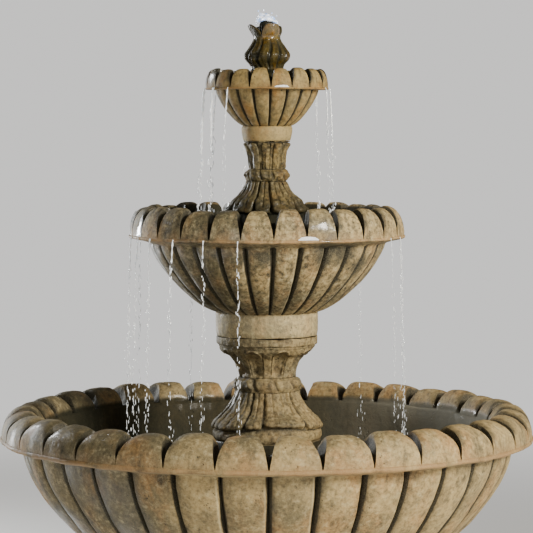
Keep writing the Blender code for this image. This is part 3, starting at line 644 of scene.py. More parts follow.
def ribs(count, centre, wander, rng):
    """count unevenly spaced edges, the first near centre degrees."""
    step = 360 / count
    return centre + step * (np.arange(count) + rng.uniform(-wander, wander, count))


def five_leaves(*starts):
    """Edges of a broad and a narrow leaf, five times round."""
    return np.concatenate([np.array(starts) + 72 * k for k in range(5)])


def skirt_rows(profile, rows, angles, leaves, folds, groove, tip, curl, lift, soaked, rng):
    """Broad and narrow leaves that flare down from the knop, folded lengthwise and curled at the foot."""
    leaf, number = uneven(angles, leaves)
    fold, fold_number = uneven(angles, folds)
    leaf_side = np.abs(leaf)
    fold_side = np.abs(fold)
    fold_depth = rng.uniform(0.45, 1.0, len(folds))[fold_number]
    reach = rng.uniform(0.5, 1.0, len(leaves))[number]
    gap = smooth(0.80, 0.99, leaf_side)
    crease = smooth(0.66, 0.99, fold_side) * fold_depth
    made = []
    for s, (radius, height) in zip(np.linspace(0, 1, rows), curve(profile, rows)):
        near_tip = fade(0.30, 0.0, s)
        away = fade(0.10, 0.32, s)
        belly = 0.20 * (1 - fold_side ** 2) * away
        drop = tip * leaf_side ** 6 * near_tip
        flick = curl * (1 - leaf_side ** 2) * reach * fade(0.24, 0.02, s)
        depth = groove * (0.95 * gap + 0.50 * crease * (0.4 + 0.6 * away) - belly)
        # Painted shade in the gaps between the leaves and in their folds.
        made.append(Row(radius - depth - 0.7 * drop + flick, height + 0.9 * drop + lift * fade(0.45, 0.0, s),
                        np.clip(0.42 * gap + 0.24 * crease + 0.10, 0, 1), soaked * fade(0.85, 0.10, s)))
    return made


def knop_rows(profile, rows, angles, edges, depth, slant, rng):
    """A collar of rolled leaf bases, some of them scrolls with a hollow middle."""
    made = []
    scrolled = rng.uniform(0.1, 1.0, len(edges))
    stand = rng.uniform(0.0, 0.25, len(edges))
    heights = curve(profile, rows)
    middle = heights[:, 1].mean()
    for s, (radius, height) in zip(np.linspace(0, 1, rows), heights):
        lump, number = uneven(angles + slant * (height - middle), edges)
        side = np.abs(lump)
        belly = sin(pi * s) ** 0.5
        cut = smooth(0.70, 1.0, side)
        away = np.hypot(lump, 2.2 * (s - 0.5))
        eye = scrolled[number] * (0.45 * ridge(away, 0, 0.30) - 0.22 * ridge(away, 0.62, 0.16))
        ragged = np.array([noise.noise(Vector((5 * cos(turn), 5 * sin(turn), 150 * height)))
                           for turn in angles])
        dent = 0.30 * side ** 2.5 + 0.60 * cut + eye + stand[number]
        # Painted shade between the lumps and in the scroll eyes.
        made.append(Row(radius - depth * belly * dent + 0.45 * depth * belly * ragged, height,
                        np.clip(0.50 * cut * belly + 0.12 + np.maximum(eye, 0), 0, 1)))
    return made


def lower_column_rows(angles, rng):
    """Plinth, leaf skirt, knop, throat of ribs and arched panels, and a plain bevelled cap."""
    lift = 0.0150 * ridge(angles_apart(angles, 10.0), 0, 0.75)  # the front leaf ends higher than the rest
    # The third value of a row is painted shade: in the crease at the leaf foot, round the knop and in the
    # steps of the cap.
    rows = [Row(0.045, 0.2662), Row(0.045, 0.12), Row(0.096, 0.03), Row(0.096, -SPIGOT), Row(0.1060, -SPIGOT),
            Row(0.1060, 0.0), Row(0.1280, 0.0, 0.1), Row(0.1322, 0.0030), Row(0.1345, 0.0080),
            Row(0.1352, 0.0140), Row(0.1345, 0.0190), Row(0.1325, 0.0218), Row(0.1290, 0.0232),
            Row(0.1265, 0.0238 + 0.5 * lift, 0.4), Row(0.1262, 0.0246 + 0.9 * lift, 0.7)]
    leaves = five_leaves(-24.5, -5.0)
    narrow = leaves[1::2]
    folds = np.concatenate((leaves, narrow + 14, narrow + 30, narrow + 42, leaves[0::2] + 10))
    rows += skirt_rows([(0.1310, 0.0262), (0.1362, 0.0310), (0.1358, 0.0385), (0.1295, 0.0490),
                        (0.1165, 0.0615), (0.1008, 0.0765), (0.0883, 0.0950), (0.0815, 0.1076),
                        (0.0785, 0.1185)],
                       40, angles, leaves, folds, 0.0068, 0.006, 0.0035, lift, 0.0, rng)
    rows.append(Row(0.0775, 0.1200, 0.7))
    rows += knop_rows([(0.0790, 0.1215), (0.0840, 0.1285), (0.0862, 0.1375), (0.0815, 0.1475),
                       (0.0712, 0.1535)],
                      14, angles, ribs(9, 12.0, 0.14, rng), 0.0090, 5.0, rng)
    rows.append(Row(0.0680, 0.1550, 0.9))
    far = np.abs(uneven(angles, ribs(9, 21.5, 0.06, rng))[0])
    panel = smooth(0.40, 0.50, far)
    throat = curve([(0.0688, 0.1565), (0.0703, 0.170), (0.0752, 0.1825), (0.0820, 0.195), (0.0895, 0.206),
                    (0.1040, 0.2160), (0.1130, 0.2225), (0.1165, 0.2290)], 46)
    arch = 0.2235 - 0.0150 * np.clip((1 - far) / 0.56, 0, 1) ** 2.5
    rib_end = 0.2200 - 0.006 * (far / 0.42) ** 3
    for radius, height in throat:
        below = 1 - smooth(arch - 0.0040, arch + 0.0010, height)
        dish = 0.0095 * panel * (0.6 + 0.4 * smooth(0.5, 1.0, far)) * fade(0.156, 0.170, height) * below
        roll = 0.0040 * ridge(height, arch + 0.0018, 0.0026) * panel
        border = 0.0030 * ridge(far, 0.47, 0.045) * fade(0.158, 0.172, height)
        border = border * (1 - smooth(arch - 0.002, arch + 0.004, height))
        groove = 0.0034 * ridge(far, 0.36, 0.040) * fade(0.158, 0.170, height)
        groove = groove * (1 - smooth(rib_end - 0.003, rib_end + 0.001, height))
        rib = 0.0022 * (1 - smooth(0.30, 0.38, far))
        rib = rib * (1 - smooth(rib_end - 0.002, rib_end + 0.0015, height))
        # Painted shade in the dished panels and the grooves, none on the raised roll and border.
        rows.append(Row(radius - dish + roll + rib + border - groove, height,
                        np.clip(26 * dish + 210 * groove - 200 * roll - 160 * border, 0, 0.95)))
    rows += [Row(0.1168, 0.2300, 0.5), Row(0.1180, 0.2306, 0.3), Row(0.1186, 0.2340),
             Row(0.1190, 0.2358, 0.4), Row(0.1226, 0.2372, 0.2), Row(0.1238, 0.2384),
             Row(0.1243, 0.2400), Row(0.1244, 0.2470),
             Row(0.1243, 0.2548), Row(0.1238, 0.2562, 0.4), Row(0.056, 0.2562, 0.5), Row(0.056, 0.2662)]
    return rows


def upper_column_rows(angles, rng):
    """Plain foot, leaf skirt with curled tips, knop, and a ring of round-tipped tongues under the bowl."""
    # The third value of a row is painted shade: a little on the wet foot, and more in the creases at the
    # foot, round the knop and under the bowl.
    rows = [Row(0.026, 0.7465), Row(0.026, 0.60), Row(0.062, 0.50), Row(0.062, 0.3453), Row(0.088, 0.3453),
            Row(0.088, 0.50, 0.2, 1.0), Row(0.088, 0.556, 0.3, 1.0), Row(0.0865, 0.5600, 0.9, 1.0),
            Row(0.0900, 0.5625, 0.8, 1.0)]
    leaves = five_leaves(-20.0, 6.0)
    folds = np.concatenate((leaves, leaves[1::2] + 15, leaves[1::2] + 31, leaves[0::2] + 13))
    rows += skirt_rows([(0.0945, 0.5650), (0.0968, 0.5705), (0.0945, 0.5775), (0.0905, 0.5850),
                        (0.0854, 0.593), (0.0706, 0.605), (0.0594, 0.6176), (0.0515, 0.6320),
                        (0.0492, 0.6385)],
                       34, angles, leaves, folds, 0.0085, 0.012, 0.009, 0.0, 0.62, rng)
    rows.append(Row(0.0480, 0.6395, 0.9))
    edges = ribs(10, -22.0, 0.06, rng)
    rows += knop_rows([(0.0500, 0.6405), (0.0550, 0.6460), (0.0572, 0.6547), (0.0535, 0.6640),
                       (0.0465, 0.6690)],
                      13, angles, edges + 2, 0.0065, 5.0, rng)
    rows.append(Row(0.0440, 0.6702, 0.95))
    far = np.abs(uneven(angles, edges)[0])
    tongue = 1 - smooth(0.66, 0.76, far)
    leaf = curve([(0.0452, 0.6712), (0.0470, 0.687), (0.0482, 0.702), (0.0532, 0.7165), (0.0590, 0.7270),
                  (0.0606, 0.7310), (0.0600, 0.7345)], 36)
    tip = 0.7345 - 0.0100 * (far / 0.72) ** 4
    for radius, height in leaf:
        over = smooth(tip - 0.0030, tip + 0.0004, height) * tongue
        behind = 0.0058 * (1 - tongue)
        crown = 0.0034 * (far / 0.7) ** 2 * tongue
        seam = 0.0030 * ridge(far, 0.72, 0.045)
        rib = 0.0016 * ridge(far, 0, 0.10) * tongue * (1 - fade(0.706, 0.714, height))
        # Painted shade behind and between the tongues and over their round tips.
        rows.append(Row(radius - behind - crown - seam - 0.0060 * over + rib, height,
                        np.clip(70 * behind + 150 * seam + 0.65 * over, 0, 0.95)))
    rows += [Row(0.0520, 0.7352, 0.9), Row(0.0520, 0.7362, 0.9), Row(0.0562, 0.7368, 0.4),
             Row(0.0570, 0.7376, 0.1), Row(0.0566, 0.7385, 0.4), Row(0.036, 0.7385, 0.5), Row(0.036, 0.7465)]
    return rows


# ---------------------------------------------------------------- pedestal and riser

CORD_NOTCH = ((-0.028, 0.10, -0.02), (0.028, 0.32, 0.030))
PORT = ((-0.2, -0.024, -0.0325), (0.2, 0.024, 0.0325))  # one box cuts two water ports across the riser
PROFILE_STEP = 0.006  # greatest spacing of rows down the pedestal


def above_ground(rows):
    """Changes heights above the ground to heights above the bead."""
    for row in rows:
        row.height = row.height - BEAD_Z
    return rows


def pedestal(material):
    """Splayed fluted foot, a plain collar and a fluted cup: (radius, height, share of fluting)."""
    profile = [(0.270, 0.044, 0), (0.262, 0.054, 0), (0.240, 0.062, 1), (0.206, 0.090, 1), (0.172, 0.140, 1),
               (0.158, 0.192, 1), (0.160, 0.204, 0), (0.176, 0.209, 0), (0.179, 0.224, 0), (0.176, 0.239, 0),
               (0.160, 0.244, 0), (0.158, 0.256, 1), (0.168, 0.300, 1), (0.196, 0.334, 1), (0.226, 0.349, 0),
               (0.238, 0.353, 0), (0.240, 0.357, 0), (0.240, 0.374, 0), (0.237, 0.377, 0)]
    angles, place = repeated(16, 20)
    side = np.abs(place)
    # The third value of a row is painted shade: at the foot's edge, in the grooves between the flutes and at
    # the top edge.
    rows = [Row(0.112, 0.14), Row(0.150, 0.06), Row(0.150, 0.0), Row(0.267, 0.0, 0.3), Row(0.270, 0.003),
            Row(0.271, 0.020), Row(0.271, 0.038)]
    for (r0, z0, f0), (r1, z1, f1) in zip(profile, profile[1:]):
        steps = max(1, round(hypot(r1 - r0, z1 - z0) / PROFILE_STEP))
        for t in np.arange(steps) / steps:
            fluted = fade(0, 1, f0 + (f1 - f0) * t)
            cut = (0.35 * side ** 2 + 0.65 * smooth(0.78, 0.98, side)) * fluted
            rows.append(Row(r0 + (r1 - r0) * t - 0.016 * cut, z0 + (z1 - z0) * t,
                            0.85 * smooth(0.72, 0.96, side) * fluted))
    rows += [Row(0.237, 0.377, 0.4), Row(0.126, 0.377), Row(0.126, 0.385), Row(0.100, 0.385),
             Row(0.112, 0.26)]
    cutters = [block("notch", *CORD_NOTCH)]
    casting("bottom_pedestal", "fountain_base", above_ground(rows), angles, material, (0.0020, 0.0007), 21,
            cutters)


def block(name, low, high):
    """A plain box between two corners, for cutting."""
    bm = bmesh.new()
    low, high = Vector(low), Vector(high)
    place = Matrix.Translation((low + high) / 2) @ Matrix.Diagonal((*(high - low), 1.0))
    bmesh.ops.create_cube(bm, size=1.0, matrix=place)
    mesh = bpy.data.meshes.new(name)
    bm.to_mesh(mesh)
    bm.free()
    return placed(name, mesh)


def cut_with(thing, tools):
    """Cuts boxes out of a mesh for good and removes them."""
    for tool in tools:
        change = thing.modifiers.new("cut", "BOOLEAN")
        change.operation = "DIFFERENCE"
        change.solver = "EXACT"
        change.object = tool
    graph = bpy.context.evaluated_depsgraph_get()
    graph.update()
    mesh = bpy.data.meshes.new_from_object(thing.evaluated_get(graph), depsgraph=graph)
    thing.modifiers.clear()
    thing.data = mesh
    for tool in tools:
        bpy.data.objects.remove(tool, do_unlink=True)


def riser(material):
    """Drum that hides the pump, with four water ports at its foot."""
    low, high = [corner.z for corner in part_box("basin_riser")]
    outer, inner = 0.134, 0.108
    # Painted shade at the foot of the drum, fading upwards.
    rows = [Row(inner, low), Row(outer, low, 0.6)]
    rows += [Row(outer, z, 0.5 * (1 - fade(0, 0.03, z - low)), 0.8)
             for z in np.linspace(low + 0.002, high - 0.002, 24)]
    rows += [Row(outer - 0.002, high), Row(inner, high), Row(inner, (low + high) / 2)]
    cutters = []
    for turn in (45, 135):
        port = block("port", *PORT)
        raised = Matrix.Translation((0, 0, low + 0.0125))
        port.matrix_world = raised @ Matrix.Rotation(radians(turn), 4, "Z")
        cutters.append(port)
    bpy.context.view_layer.update()
    casting("basin_riser", "fountain_base", above_ground(rows), repeated(8, 16)[0], material,
            (0.0010, 0.0005), 33, cutters)


# ---------------------------------------------------------------- finial

def finial_rows(angles, rng):
    """Bud urn: stem, belly of overlapping leaves, neck, and the dark bud in its mouth."""
    # Painted shade in the creases under the belly.
    rows = [Row(0.024, 0.8023), Row(0.036, 0.8023), Row(0.036, 0.860, 0, 1), Row(0.036, 0.902, 0.3, 1),
            Row(0.0352, 0.908, 0.8, 1), Row(0.0390, 0.9115, 0.5, 1)]
    edges = ribs(11, 4.0, 0.20, rng)
    belly = curve([(0.0398, 0.9160), (0.0407, 0.9210), (0.0444, 0.9285), (0.0525, 0.9380), (0.0556, 0.9470),
                   (0.0540, 0.9560), (0.0455, 0.9680), (0.0378, 0.9800), (0.0338, 0.9880)], 50)
    for s, (radius, height) in zip(np.linspace(0, 1, len(belly)), belly):
        lobe, number = uneven(angles + 0.10 * sin(5.5 * s), edges)
        side = np.abs(lobe)
        seam = smooth(0.50, 0.96, side)
        swell = sin(pi * (0.10 + 0.80 * s))
        ripple = 0.0008 * np.sin(lobe * 7 + 9 * s + number) * swell
        hole = 0.0060 * ridge(angles_apart(angles, -36.0), 0, 0.30) * ridge(height, 0.9485, 0.0085)
        # Painted shade in the seams between the leaves and in the deep hollow, over an even darkening.
        rows.append(Row(radius - 0.0056 * swell * (0.35 * side ** 2 + 0.65 * seam) + ripple - hole, height,
                        np.clip(0.80 * seam * swell + 0.22 + 110 * hole, 0, 1), 0.66))
    rows += [Row(0.0328, 0.9900, 0.2, 0.5), Row(0.0324, 0.9940, 0.2, 0.5)]
    rows += calyx_rows(angles)
    seam = smooth(0.6, 0.98, np.abs(uneven(angles, ribs(6, 0.0, 0.1, rng))[0]))
    for radius, height in curve([(0.0195, 1.0040), (0.0198, 1.0120), (0.0185, 1.0220), (0.0160, 1.0310),
                                 (0.0120, 1.0355)], 14):
        # The bud is darkened through the shading mask, most in its seams.
        rows.append(Row(radius - 0.0016 * seam, height, 0.6 + 0.4 * seam, 1))
    # Painted shade inside the bud's top and down its bore.
    rows += [Row(0.0096, 1.0362, 0.8, 1), Row(0.0090, 1.0300, 0.9), Row(0.0090, 0.8200), Row(0.0240, 0.8160)]
    return rows


PETAL_EDGES = (66, 155, 252, 336)  # clefts between the right, rear, left and front petals, degrees
PETAL_RISE = (0.0240, 0.0240, 0.0270, 0.0290)
PETAL_FLARE = (0.0040, 0.0060, 0.0160, 0.0085)
PETAL_POINT = (3.0, 3.0, 2.2, 3.4)  # low is pointed, high is square-shouldered


def calyx_rows(angles):
    """Thick-walled mouth of four broad petals, of their own heights and flares."""
    v, number = uneven(angles, PETAL_EDGES)
    far = np.abs(v)
    point = np.array(PETAL_POINT)[number]
    tall = np.array(PETAL_RISE)[number] * np.clip(1 - far ** point, 0, 1) ** 0.8
    flare = np.array(PETAL_FLARE)[number] * (1 - far ** 3)
    front = (number == 3) * 0.45
    soaked = np.where(number == 3, 0.10, 0.70)
    # Painted shade in the clefts between the petals, at their feet and down inside the mouth.
    cleft = 0.9 * smooth(0.86, 1.0, far)
    rows = []
    for t in np.linspace(0, 1, 12):
        vein = 0.0002 * np.cos(v * 12) * sin(pi * t)
        rows.append(Row(0.0322 + flare * t ** 1.4 + 0.0030 * sin(pi * t) * (1 - far ** 2) + vein,
                        0.9960 + tall * t, np.maximum(0.30 - 0.30 * t, cleft), soaked, front * t))
    lip = 0.0322 + flare
    rows.append(Row(lip - 0.0012, 0.9975 + tall, cleft, soaked, front))
    rows.append(Row(lip - 0.0036, 0.9982 + tall, cleft, soaked, front))
    rows.append(Row(lip - 0.0058, 0.9968 + tall, 0.3, 0.8))
    for t in (0.75, 0.5, 0.25, 0.0):
        rows.append(Row(0.0262 + (lip - 0.0066 - 0.0262) * t, 0.9960 + tall * t, 0.9, 1))
    rows.append(Row(0.0215, 1.0015, 1, 1))
    return rows


# ---------------------------------------------------------------- build the castings

BASIN_STONE = Finish(dark=0.85, green=0.50, ochre=0.75, lime=0.55, wet=0.25, gloss=0.4, speckle=0.40,
                     slime_and_light=1.0, tone=1.12)
MIDDLE_STONE = Finish(dark=1.0, green=0.68, ochre=0.45, lime=0.6, wet=0.36, scale=2.0, speckle=0.65,
                      gloss=1.0, tone=1.26,
                      stains=((-0.010, -0.285, 0.462, 0.036), (0.140, -0.250, 0.470, 0.060),
                              (0.225, -0.150, 0.440, 0.050), (0.180, -0.210, 0.475, 0.060)))
TOP_STONE = Finish(dark=0.70, green=0.45, ochre=0.80, lime=0.25, wet=0.35, scale=2.0, speckle=0.40,
                   gloss=0.7, tone=0.89, rich=1.12)
LOWER_STONE = Finish(dark=0.5, green=0.55, ochre=0.25, lime=0.35, wet=0.2, scale=2.0, warm_low=-0.2,
                     speckle=0.6, tone=0.95)
UPPER_STONE = Finish(dark=0.7, green=0.65, ochre=0.4, wet=0.4, scale=3.0, warm_low=-0.2, speckle=0.8,
                     tone=0.82, rich=1.15)
FINIAL_STONE = Finish(dark=1.0, green=0.7, ochre=0.8, lime=0.1, wet=0.8, gloss=0.9, warm_low=-0.2, scale=4.0,
                      tone=0.85, rich=1.45)
PEDESTAL_STONE = Finish(dark=0.3, green=0.35, ochre=0.35, wet=0.15)
RISER_STONE = Finish(dark=0.5, green=0.7, ochre=0.2, lime=0.2, wet=0.9, tone=0.7)


def castings():
    bowl_casting(BOTTOM, "fountain_base", stone("basin_stone", BASIN_STONE))
    bowl_casting(MIDDLE, "middle_bowl", stone("middle_stone", MIDDLE_STONE))
    bowl_casting(TOP, "top_bowl", stone("top_stone", TOP_STONE))
    angles = around(360)
    casting("lower_column", "lower_column", lower_column_rows(angles, dice(3)), angles,
            stone("lower_stone", LOWER_STONE), (0.0022, 0.00264), 51)
    angles = around(320)
    casting("upper_column", "upper_column", upper_column_rows(angles, dice(4)), angles,
            stone("upper_stone", UPPER_STONE), (0.0018, 0.00216), 61)
    angles = around(288)
    casting("finial", "finial", finial_rows(angles, dice(41)), angles,
            stone("finial_stone", FINIAL_STONE), (0.0014, 0.0009), 41)
    pedestal(stone("pedestal_stone", PEDESTAL_STONE))
    riser(stone("riser_stone", RISER_STONE))


castings()


# ---------------------------------------------------------------- fittings kept from the frame

@dataclass
class Look:
    """A mottled manufactured finish between two colours."""

    low: tuple
    high: tuple
    rough: tuple  # least and greatest roughness
    metallic: float = 0.0
    scale: float = 60.0  # fineness of the mottling
    bump: float = 0.0002  # metres
    grain: tuple = (1, 1, 1)  # stretches the finest marks into brushing or moulding lines
    clear: float = 0.0  # how much light passes through


LOOKS = {
    "brass": Look((0.30, 0.17, 0.05), (0.74, 0.53, 0.22), (0.22, 0.50), 1.0, 90, 0.0002, (1, 1, 14)),
    "copper": Look((0.20, 0.22, 0.15), (0.70, 0.34, 0.20), (0.25, 0.60), 1.0, 120, 0.0003),
    "steel": Look((0.42, 0.42, 0.40), (0.66, 0.66, 0.64), (0.20, 0.42), 1.0, 80, 0.0001, (1, 1, 20)),
    "rubber": Look((0.018, 0.018, 0.018), (0.050, 0.049, 0.047), (0.62, 0.85), 0.0, 150, 0.0003),
    "pump_plastic": Look((0.018, 0.019, 0.021), (0.036, 0.038, 0.040), (0.34, 0.55), 0.0, 220, 0.0002),
    "dial_plastic": Look((0.44, 0.12, 0.015), (0.60, 0.19, 0.03), (0.30, 0.46), 0.0, 200, 0.0001),
    "impeller_plastic": Look((0.24, 0.26, 0.27), (0.36, 0.38, 0.39), (0.30, 0.45), 0.0, 200, 0.0001),
    "ceramic_rod": Look((0.74, 0.73, 0.69), (0.86, 0.85, 0.82), (0.12, 0.22), 0.0, 200, 0.0001),
    "clear_vinyl": Look((0.62, 0.70, 0.66), (0.78, 0.85, 0.82), (0.10, 0.25), 0.0, 40, 0.0002,
                        (1, 1, 0.2), 0.6),
    "cord_jacket": Look((0.016, 0.016, 0.015), (0.034, 0.033, 0.031), (0.45, 0.65), 0.0, 120, 0.0003),
}


def fitting_material(name, look):
    made = bpy.data.materials.new(name + "_look")
    n = Nodes(made)
    mottle = n.patches(look.scale, 4, 0.6)
    fine = n.patches(6 * look.scale, 2, 0.6, place=n.stretched(look.grain))
    both = n.grow(fine, 0.4, n.share(mottle, 0.6))
    least, most = look.rough
    n.feed({"Base Color": n.mix(n.rise(both, 0.36, 0.60), look.low, look.high),
            "Roughness": n.grow(fine, most - least, least),
            "Metallic": look.metallic,
            "Transmission Weight": look.clear})
    n.bumps((fine, look.bump, 0.6))
    return made


def dress_fittings():
    """Gives every frame part that stays in sight its finish."""
    made = {slot: fitting_material(slot, look) for slot, look in LOOKS.items()}
    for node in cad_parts.values():
        for holder in node.material_slots:
            if holder.material.name in made:
                holder.material = made[holder.material.name]


dress_fittings()


# ---------------------------------------------------------------- water

WATER_IOR = 1.33


def pool_material():
    made = bpy.data.materials.new("pool_water")
    n = Nodes(made)
    ripple = n.patches(26.0, 3, 0.5, 0.6)
    fine = n.patches(90.0, 2)
    n.feed({"Base Color": n.mix(n.rise(ripple, 0.35, 0.65), (0.008, 0.010, 0.007), (0.024, 0.028, 0.020)),
            "Roughness": 0.06,
            "IOR": WATER_IOR})
    n.bumps((ripple, 0.004, 0.3), (fine, 0.001, 0.3))
    return made


def falling_material(name, shaded, glow, scale):
    made = bpy.data.materials.new(name)
    n = Nodes(made)
    froth = n.patches(scale, 3)
    white = n.mix(n.rise(froth, 0.35, 0.65), shaded, (0.97, 0.98, 0.98))
    n.feed({"Base Color": white, "Emission Color": white, "Emission Strength": glow, "Roughness": 0.10,
            "IOR": WATER_IOR, "Coat Weight": 0.5})
    n.bumps((froth, 0.0004, 0.3))
    return made


def wall_radius(bowl, level):
    """Radius of the bowl's inside at a height."""
    radii, heights = np.array([wall(bowl, share) for share in np.linspace(0, 1, 200)]).T
    return float(np.interp(level, heights, radii))


RIPPLE = 0.0030  # height of the ripples where a stream lands
RIPPLE_REACH = 0.035
RIPPLE_PITCH = 0.022
POOL_DEPTH = 0.006


def pool(bowl, level, inner, body, falls, material):
    """Still water in a bowl, ringed by ripples where each fall lands: falls is a list of (angle, radius)."""
    outer = wall_radius(bowl, level) + 0.004
    angles = around(180)
    rows = [Row(inner, level - POOL_DEPTH), Row(outer, level - POOL_DEPTH)]
    for radius in np.linspace(outer, inner, 60):
        lift = 0.0
        for angle, reach in falls:
            away = np.hypot(radius * np.sin(angles) - reach * sin(angle),
                            radius * np.cos(angles) - reach * cos(angle))
            lift = lift + RIPPLE * np.exp(-away / RIPPLE_REACH) * np.cos(away * 2 * pi / RIPPLE_PITCH)
        rows.append(Row(radius, level + lift))
    thing = revolve(bowl.node.split("_")[0] + "_pool", rows, angles)
    thing.data.materials.append(material)
    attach(thing, body)


class Soup:
    """Many small closed shapes gathered into one mesh."""

    def __init__(self):
        self.points = []
        self.faces = []

    def rings(self, rings):
        """A closed skin through rings of points, with a flat lid at each end."""
        first = len(self.points)
        count = len(rings[0])
        self.points += [point for ring in rings for point in ring]
        for i in range(len(rings) - 1):
            for j in range(count):
                a = first + i * count + j
                b = first + i * count + (j + 1) % count
                self.faces.append((a, a + count, b + count, b))
        last = first + (len(rings) - 1) * count
        self.faces.append(tuple(first + j for j in range(count)))
        self.faces.append(tuple(last + count - 1 - j for j in range(count)))

    def thread(self, path, widths):
        """Water running down a path of points."""
        self.rings([[(x + width * cos(turn), y + width * sin(turn), z) for turn in around(8)]
                    for (x, y, z), width in zip(path, widths)])

    def drop(self, centre, across, tall):
        """A ball of water, stretched up and down."""
        x, y, z = centre
        levels = [cos(angle) for angle in np.radians((15, 50, 90, 130, 165))]
        self.thread([(x, y, z + tall * level) for level in levels],
                    [across * sqrt(1 - level * level) for level in levels])

    def piece(self, name, material):
        mesh = bpy.data.meshes.new(name)
        mesh.from_pydata(self.points, [], self.faces)
        mesh.shade_smooth()
        mesh.materials.append(material)
        return placed(name, mesh)


STREAM_STEP = 0.0035  # spacing of the points down a stream
STREAM_WIDTH = 0.0020
THINNEST = 0.0005
OUTWARD = 0.014  # how far a stream drifts out on its way down
SWING = 0.0022
DROP_ODDS = 0.52


def falls_between(name, bowl, angles, strong, whole, high, low, upper_bodies, lower_bodies, material, seed):
    """Thin broken streams from a bowl's bead down, in two pieces: the upper half of the drop and the lower
    half.
    """
    rng = dice(seed)
    middle = (high + low) / 2
    halves = (("upper", upper_bodies, high, middle), ("lower", lower_bodies, middle, low))
    for part, bodies, top_z, end_z in halves:
        soup = Soup()
        for angle, strength in zip(angles, strong):
            turn = radians(angle)
            sway = rng.uniform(0, 2 * pi)
            steps = np.arange(top_z, end_z, -STREAM_STEP)
            fallen = (high - steps) / (high - low)
            reach = bowl.bead_r + 0.001 + OUTWARD * np.sqrt(fallen)
            swing = SWING * np.sin(sway + 9 * fallen)
            path = [(r * sin(turn) + w * cos(turn), -r * cos(turn) + w * sin(turn), BEAD_Z + z)
                    for r, w, z in zip(reach, swing, steps)]
            width = strength * STREAM_WIDTH * (1 - 0.35 * fallen) * (1 + 0.40 * np.sin(sway + steps * 330))
            unbroken = int(len(path) * strength * (whole if part == "upper" else 0.0))
            if unbroken > 3:
                soup.thread(path[:unbroken], np.maximum(width[:unbroken], THINNEST))
            for (x, y, z), thick, share_down in list(zip(path, width, fallen))[unbroken:]:
                if rng.random() < DROP_ODDS:
                    stray = rng.normal(0, 0.0012 + 0.0030 * share_down, 2)
                    across = (0.6 + 0.5 * rng.random()) * thick
                    soup.drop((x + stray[0], y + stray[1], z), across, rng.uniform(0.0022, 0.0065))
        thing = soup.piece(f"{name}_{part}", material)
        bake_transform(thing)


FILM = (0.0014, -0.0018)  # how far a film stands out of the lobe, and how far it sinks in


def spills(name, bowl, films, body, material):
    """Films of water over the feet of the lobes: (start, end, first reach, last reach).

    The first two are angles in degrees and the reaches are shares of a lobe's outer curve.
    """
    soup = Soup()
    for start, end, first_reach, last_reach in films:
        rings = []
        for t in np.linspace(0, 1, 28):
            turn = radians(start + (end - start) * t)
            wavy = (1 + 0.35 * noise.noise(Vector((start, 6 * t, 0)))) * fade(0, 0.2, t) * fade(1, 0.8, t)
            reach = (first_reach + (last_reach - first_reach) * t) * wavy
            skin = [lobe_outside(bowl, s) for s in np.linspace(0, reach + 0.01, 7)]
            ring = [(r + FILM[0], z) for r, z in skin] + [(r + FILM[1], z) for r, z in skin[::-1]]
            rings.append([(r * sin(turn), -r * cos(turn), BEAD_Z + z) for r, z in ring])
        soup.rings(rings)
    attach(soup.piece(name, material), body)


def splashes(name, falls, level, body, material, seed):
    """Drops thrown up where the streams land."""
    rng = dice(seed)
    soup = Soup()
    for angle, reach in falls:
        for _ in range(18):
            away = abs(rng.normal(0, 0.016))
            turn = rng.uniform(0, 2 * pi)
            centre = (reach * sin(angle) + away * sin(turn),
                      -reach * cos(angle) + away * cos(turn),
                      BEAD_Z + level + rng.uniform(0.001, 0.050) * exp(-away / 0.03))
            size = rng.uniform(0.0009, 0.0028)
            soup.drop(centre, size, size * rng.uniform(1.0, 1.7))
    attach(soup.piece(name, material), body)


def bubbling_cap(material):
    """The low boil of white water over the bud."""
    soup = Soup()
    rings = []
    for polar in np.radians(np.linspace(4, 176, 40)):
        ring = []
        for turn in around(64):
            point = Vector((sin(polar) * cos(turn), sin(polar) * sin(turn), cos(polar)))
            size = 1 + 0.50 * noise.noise(point * 2.2 + Vector((2, 5, 1))) + 0.09 * noise.noise(point * 4.5)
            tall = 0.0145 + 0.005 * fade(0.5, -0.8, point.x) if point.z > 0 else 0.0030
            ring.append((0.026 * point.x * size - 0.002, 0.022 * point.y * size,
                         BEAD_Z + 1.0362 - 0.0085 * point.x ** 2 + tall * size * point.z))
        rings.append(ring)
    soup.rings(rings)
    for x, y, z, size in ((-0.021, -0.006, 1.0585, 0.0022), (-0.008, -0.010, 1.0600, 0.0020),
                          (0.012, -0.008, 1.0530, 0.0018), (0.024, 0.002, 1.0470, 0.0016)):
        soup.drop((x, y, BEAD_Z + z), size, 1.3 * size)
    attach(soup.piece("bubbling_cap", material), "finial")


TOP_FALLS = (-90, -58, -39, 69, 90, 128, 163, -160, -124)
TOP_STRENGTH = (1.5, 1.3, 0.7, 0.7, 1.0, 0.8, 0.7, 0.8, 0.9)
MIDDLE_FALLS = (-75, -66, -54.6, -41, -25.6, -11.2, 61, 71, 104, 137, 171, -146, -112)
MIDDLE_STRENGTH = (0.8, 0.8, 0.9, 0.8, 0.65, 0.6, 0.4, 0.5, 0.5, 0.5, 0.45, 0.5, 0.6)
BASIN_LEVEL = -0.090
MIDDLE_LEVEL = 0.535
TOP_LEVEL = 0.893


